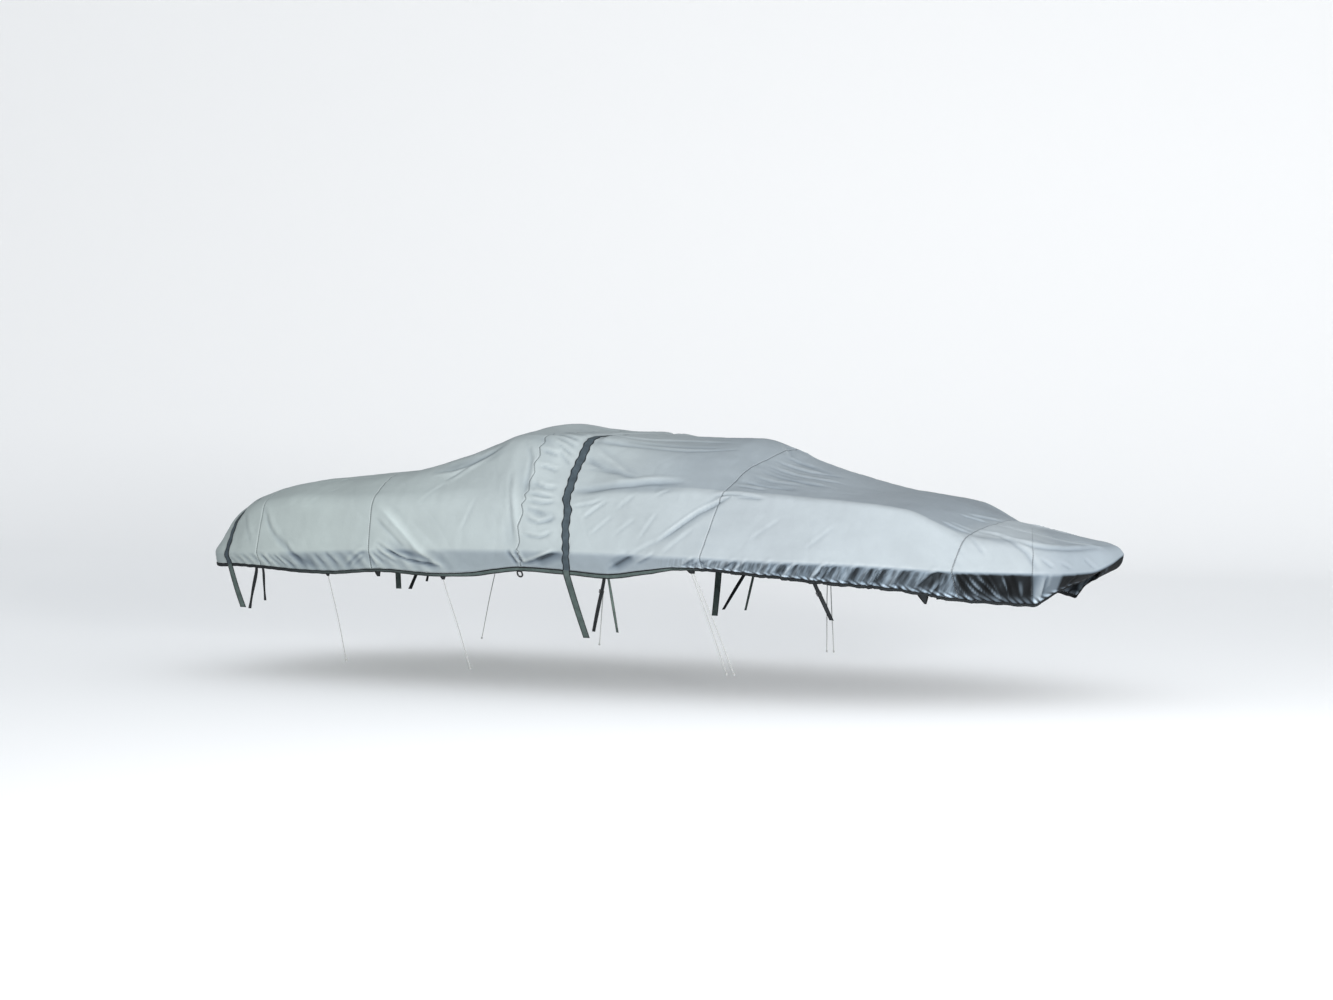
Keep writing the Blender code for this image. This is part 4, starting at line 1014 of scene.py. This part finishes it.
def pick(piece, part, wanted):
    """Selects the vertices, edges or faces whose middle is wanted, in edit mode."""
    bpy.ops.object.mode_set(mode="EDIT")
    bpy.ops.mesh.select_mode(type=part)
    bpy.ops.mesh.select_all(action="DESELECT")
    bpy.ops.object.mode_set(mode="OBJECT")
    corners = piece.data.vertices
    if part == "FACE":
        for face in piece.data.polygons:
            face.select = wanted(face.center)
    elif part == "EDGE":
        for edge in piece.data.edges:
            edge.select = wanted((corners[edge.vertices[0]].co + corners[edge.vertices[1]].co) / 2)
    else:
        for corner in corners:
            corner.select = wanted(corner.co)
    bpy.ops.object.mode_set(mode="EDIT")


def make_buckle(name, matrix):
    """A ladder-lock slider: a moulded plate with two slots, a middle bar and a thumb lip."""
    bpy.ops.object.select_all(action="DESELECT")
    bpy.ops.mesh.primitive_plane_add(size=1.0)
    piece = bpy.context.object
    piece.name = name + "_slider"
    bpy.ops.object.mode_set(mode="EDIT")
    bpy.ops.mesh.select_all(action="SELECT")
    bpy.ops.transform.resize(value=(SLIDER_WIDE, SLIDER_TALL, 1.0))
    for across in (-SLOT_WIDE / 2, SLOT_WIDE / 2):
        bpy.ops.mesh.select_all(action="SELECT")
        bpy.ops.mesh.bisect(plane_co=(across, 0, 0), plane_no=(1, 0, 0))
    for up in (-SLOT_TOP, -SLOT_FOOT, SLOT_FOOT, SLOT_TOP):
        bpy.ops.mesh.select_all(action="SELECT")
        bpy.ops.mesh.bisect(plane_co=(0, up, 0), plane_no=(0, 1, 0))
    pick(piece, "FACE", lambda at: abs(at.x) < SLOT_WIDE / 2 and SLOT_FOOT < abs(at.y) < SLOT_TOP)
    bpy.ops.mesh.delete(type="FACE")
    pick(piece, "EDGE", lambda at: at.y > SLIDER_TALL / 2 - 0.1 * MM)
    bpy.ops.mesh.extrude_region_move(TRANSFORM_OT_translate={"value": LIP_REACH})
    bpy.ops.object.mode_set(mode="OBJECT")
    thicken(piece, SLIDER_THICK, 0.0)
    bevel = piece.modifiers.new("edges", "BEVEL")
    bevel.width = 0.7 * MM
    bevel.segments = 2
    bpy.ops.object.select_all(action="DESELECT")
    piece.select_set(True)
    bpy.context.view_layer.objects.active = piece
    for modifier in list(piece.modifiers):
        bpy.ops.object.modifier_apply(modifier=modifier.name)
    bpy.ops.object.shade_smooth_by_angle(angle=math.radians(40))
    settle(piece, matrix)
    finish_piece(piece, PLASTIC_FINISH, [name])


def make_buckles():
    ties = {tie[0]: tie for tie in TIES}
    for side_name, side in SIDES:
        for name, tie_name, fraction in BUCKLES:
            place, line = tie_line(ties[tie_name], side)
            spot = int(len(line) * (TIE_KNEE + (TIE_BEND - TIE_KNEE) * fraction))
            run = unit(line[spot + 1] - line[spot - 1])
            face = unit(np.cross(run, place.forward))
            face = face if face[1] * side < 0 else -face
            wide = np.cross(face, run)
            centre = line[spot] + face * 4.5 * MM
            make_buckle(f"{name}_{side_name}", axes_matrix(centre, wide, -run, np.cross(wide, -run)))


def make_tabs():
    """Short tabs of folded webbing, narrowed to where a rope is tied in."""
    for side_name, side in SIDES:
        for name, along, wide, tall, point in TABS:
            place = HemPlace(along, side)
            down = np.linspace(-6 * MM, tall, 9)
            half = wide / 2 * np.interp(down, [0, tall], [1, point])
            middle = np.array([place.under_binding(d) for d in down])
            middle += place.out[None] * (1.5 * MM * np.sin(np.linspace(0, math.pi, len(down))))[:, None]
            left = middle - place.forward[None] * half[:, None]
            right = middle + place.forward[None] * half[:, None]
            strip(f"{name}_{side_name}_webbing", left, right, down, TIE_FINISH, [f"{name}_{side_name}"],
                  TAB_THICK, crown=place.out)


def make_loops():
    """An empty oval ring under the binding on each side, held by a small fold of webbing."""
    for side_name, side in SIDES:
        place = HemPlace(LOOP_ALONG, side)
        bpy.ops.object.select_all(action="DESELECT")
        bpy.ops.mesh.primitive_torus_add(major_segments=40, minor_segments=12, minor_radius=LOOP_RADIUS,
                                         major_radius=LOOP_WIDE / 2 - LOOP_RADIUS)
        piece = bpy.context.object
        piece.name = f"hem_loop_{side_name}_ring"
        # the upper half moves up, which draws the ring out into an oval, and its bar is pressed flatter
        pick(piece, "VERT", lambda at: at.y > 0.1 * MM)
        bpy.ops.transform.translate(value=(0, LOOP_TALL - LOOP_WIDE, 0))
        pick(piece, "VERT", lambda at: at.y > LOOP_TALL - LOOP_WIDE + 10 * MM)
        bpy.ops.transform.resize(value=(1.0, 1.0, 0.8))
        bpy.ops.object.mode_set(mode="OBJECT")
        piece.data.shade_smooth()
        centre = place.under_binding(LOOP_TALL - LOOP_WIDE / 2)
        settle(piece, axes_matrix(centre, place.forward, -place.down, np.cross(place.forward, -place.down)))
        finish_piece(piece, PLASTIC_FINISH, [f"hem_loop_{side_name}"])
        # its fold goes down one side of the ring's bar and up the other
        top, spacing = place.under_binding(-6 * MM), 3 * MM
        out, half = place.out * 6.5 * MM, place.forward * 0.014
        line = smooth_path([top, top + place.down * 0.009 + out, top + place.down * 0.021,
                            top + place.down * 0.009 - out, top], spacing)
        strip(f"loop_tab_{side_name}_webbing", line - half, line + half, np.arange(len(line)) * spacing,
              TIE_FINISH, thickness=LOOP_TAB_THICK)


def cord_line(cord, tab, side):
    """A rope's middle line, leaving its tab straight down and turning towards where it is made fast."""
    _, _, beside, drop, inward, forward = cord
    _, along, _, tall, _ = tab
    place = HemPlace(along, side)
    start = place.under_binding(tall + LIFT) + place.forward * beside
    end = place.hung_end(drop, inward, forward)
    length = np.linalg.norm(end - start)
    turn = (place.down - (end - start) / length) * CORD_TURN
    return np.array([start + (end - start) * s + turn * (1 - math.exp(-s * length / CORD_TURN) - s)
                     + place.inboard * CORD_SAG * math.sin(math.pi * s)**2
                     for s in np.linspace(0, 1, 160)])


def laid_tube(line, radius, around, hollow):
    """Rings round a line that dip that share of the radius between three strands, the tone of each point,
    which the rope's finish turns into painted shade in the lay, and the surface's UVs."""
    run = unit_rows(np.gradient(line, axis=0))
    way = np.cross(run[0], (0.3, 0.5, 0.8))
    length = run_lengths(line)
    angles = np.linspace(0, TAU, around, endpoint=False)
    rings, tones = [], []
    for point, along, far in zip(line, run, length):
        way = unit(way - along * (way @ along))
        other = np.cross(along, way)
        tone = 0.5 + 0.5 * np.cos(STRANDS * (angles - TAU / ROPE_LAY * far))
        reach = radius * (1 - hollow * (1 - tone))
        rings.append(point + way * (np.cos(angles) * reach)[:, None]
                     + other * (np.sin(angles) * reach)[:, None])
        tones.append(tone)
    return np.array(rings), np.array(tones), spread(length, angles * radius)


def make_rope(name, line):
    rings, tones, uv = laid_tube(line, CORD_RADIUS, 12, 0.22)
    piece = grid_mesh(f"{name}_rope", rings, uv, {"tone": tones}, closed_rows=True, flip=True)
    mesh = bmesh.new()
    mesh.from_mesh(piece.data)
    bmesh.ops.holes_fill(mesh, edges=[edge for edge in mesh.edges if edge.is_boundary], sides=0)
    bmesh.ops.recalc_face_normals(mesh, faces=mesh.faces)
    mesh.to_mesh(piece.data)
    mesh.free()
    piece.data.shade_smooth()
    finish_piece(piece, ROPE_FINISH, [name])
    return piece


def make_knot(name, end, run):
    """A plain knot under a rope's end: the rope wound into a trefoil and drawn tight."""
    t = np.linspace(0, TAU, 97)[:-1]
    wound = np.stack([np.sin(t) + 2 * np.sin(2 * t), np.cos(t) - 2 * np.cos(2 * t), -1.2 * np.sin(3 * t)], -1)
    across = unit(np.cross(run, (1.0, 0.2, 0.1)))
    other = np.cross(run, across)
    line = end + run * KNOT_DROP + (wound[:, :1] * run + wound[:, 1:2] * across
                                    + wound[:, 2:3] * other) * KNOT_SIZE
    line = np.vstack([line, line[:1]])
    rings, tones, uv = laid_tube(line, KNOT_RADIUS, 10, 0.2)
    rings[-1] = rings[0]
    piece = grid_mesh(f"{name}_rope", rings, uv, {"tone": tones}, closed_rows=True, flip=True, merge=True)
    finish_piece(piece, ROPE_FINISH, [name])
    return piece


def make_cords():
    tabs = {tab[0]: tab for tab in TABS}
    for side_name, side in SIDES:
        for cord in CORDS:
            name = f"{cord[0]}_{side_name}"
            line = cord_line(cord, tabs[cord[1]], side)
            rope = make_rope(name, line)
            knot = make_knot(name.replace("cord", "knot"), line[-1], unit(line[-1] - line[-3]))


# ======== the room
def make_room():
    """A plain pale floor that turns up into a backdrop, with soft light from the viewer's side."""
    low = cad_box[0][2] - FLOOR_DROP
    profile = [(-FLOOR_HALF, low), (WALL_FOOT, low)]
    for turn in np.linspace(0, math.pi / 2, 16):
        profile.append((WALL_FOOT + COVE_RADIUS * math.sin(turn), low + COVE_RADIUS * (1 - math.cos(turn))))
    profile.append((WALL_FOOT + COVE_RADIUS, low + WALL_TALL))
    grid = np.array([[(x, y, z) for y, z in profile] for x in (-FLOOR_HALF, FLOOR_HALF)])
    floor = grid_mesh("floor", grid, grid[..., :2])
    material, tree, shader = new_material("matt_paint_floor", "#F2F2F2", 0.9)
    place = node(tree, "TexCoord").outputs["Object"]
    grain = node(tree, "TexNoise", {"Scale": 40.0}, Vector=place)
    bump = node(tree, "Bump", {"Strength": 0.05, "Distance": 0.002}, Height=grain)
    connect(tree, shader, Normal=bump)
    floor.data.materials.append(material)

    bpy.context.scene.view_settings.view_transform = "Standard"
    world = bpy.data.worlds.new("studio")
    bpy.context.scene.world = world
    world.use_nodes = True
    sky = world.node_tree
    way = node(sky, "SeparateXYZ", Vector=node(sky, "TexCoord").outputs["Generated"])
    high = node(sky, "MapRange", {"From Max": 0.8}, Value=way.outputs["Z"])
    glow = node(sky, "Mix", {"data_type": "RGBA", 6: (1.06, 1.06, 1.06, 1.0), 7: (0.72, 0.76, 0.80, 1.0)},
                _0=high)
    connect(sky, sky.nodes["Background"], Color=glow)

    key = bpy.data.lights.new("key", "AREA")
    key.shape = "RECTANGLE"
    key.size, key.size_y = 2.6, 1.6
    key.spread = math.radians(130)
    key.energy = 1380.0
    lamp = bpy.data.objects.new("key", key)
    lamp.location = (10.5, -11.0, 0.9)
    lamp.rotation_euler = Vector((-9.6, 11.0, -1.4)).to_track_quat("-Z", "Y").to_euler()
    bpy.context.scene.collection.objects.link(lamp)


def make_camera():
    """Nearly level with the cover, off its starboard side and 25 degrees forward of the beam."""
    azimuth, elevation, distance = math.radians(25), math.radians(2), 18.0
    target = Vector((0.0, 0.0, 0.318)) - Vector(ORIGIN)
    ahead = Vector((-math.sin(azimuth) * math.cos(elevation), math.cos(azimuth) * math.cos(elevation),
                    -math.sin(elevation)))
    frame_wide, focal = 1333, 2700    # in pixels
    lens = bpy.data.cameras.new("camera")
    lens.sensor_width = 36.0
    lens.sensor_fit = "HORIZONTAL"
    lens.lens = lens.sensor_width * focal / frame_wide
    lens.clip_end = 200.0
    camera = bpy.data.objects.new("camera", lens)
    camera.location = target - ahead * distance
    camera.rotation_euler = ahead.to_track_quat("-Z", "Y").to_euler()
    bpy.context.scene.collection.objects.link(camera)
    bpy.context.scene.camera = camera


make_camera()
make_cords()
make_cloth()
make_binding()
make_over_straps()
make_ties()
make_buckles()
make_tabs()
make_loops()
make_room()
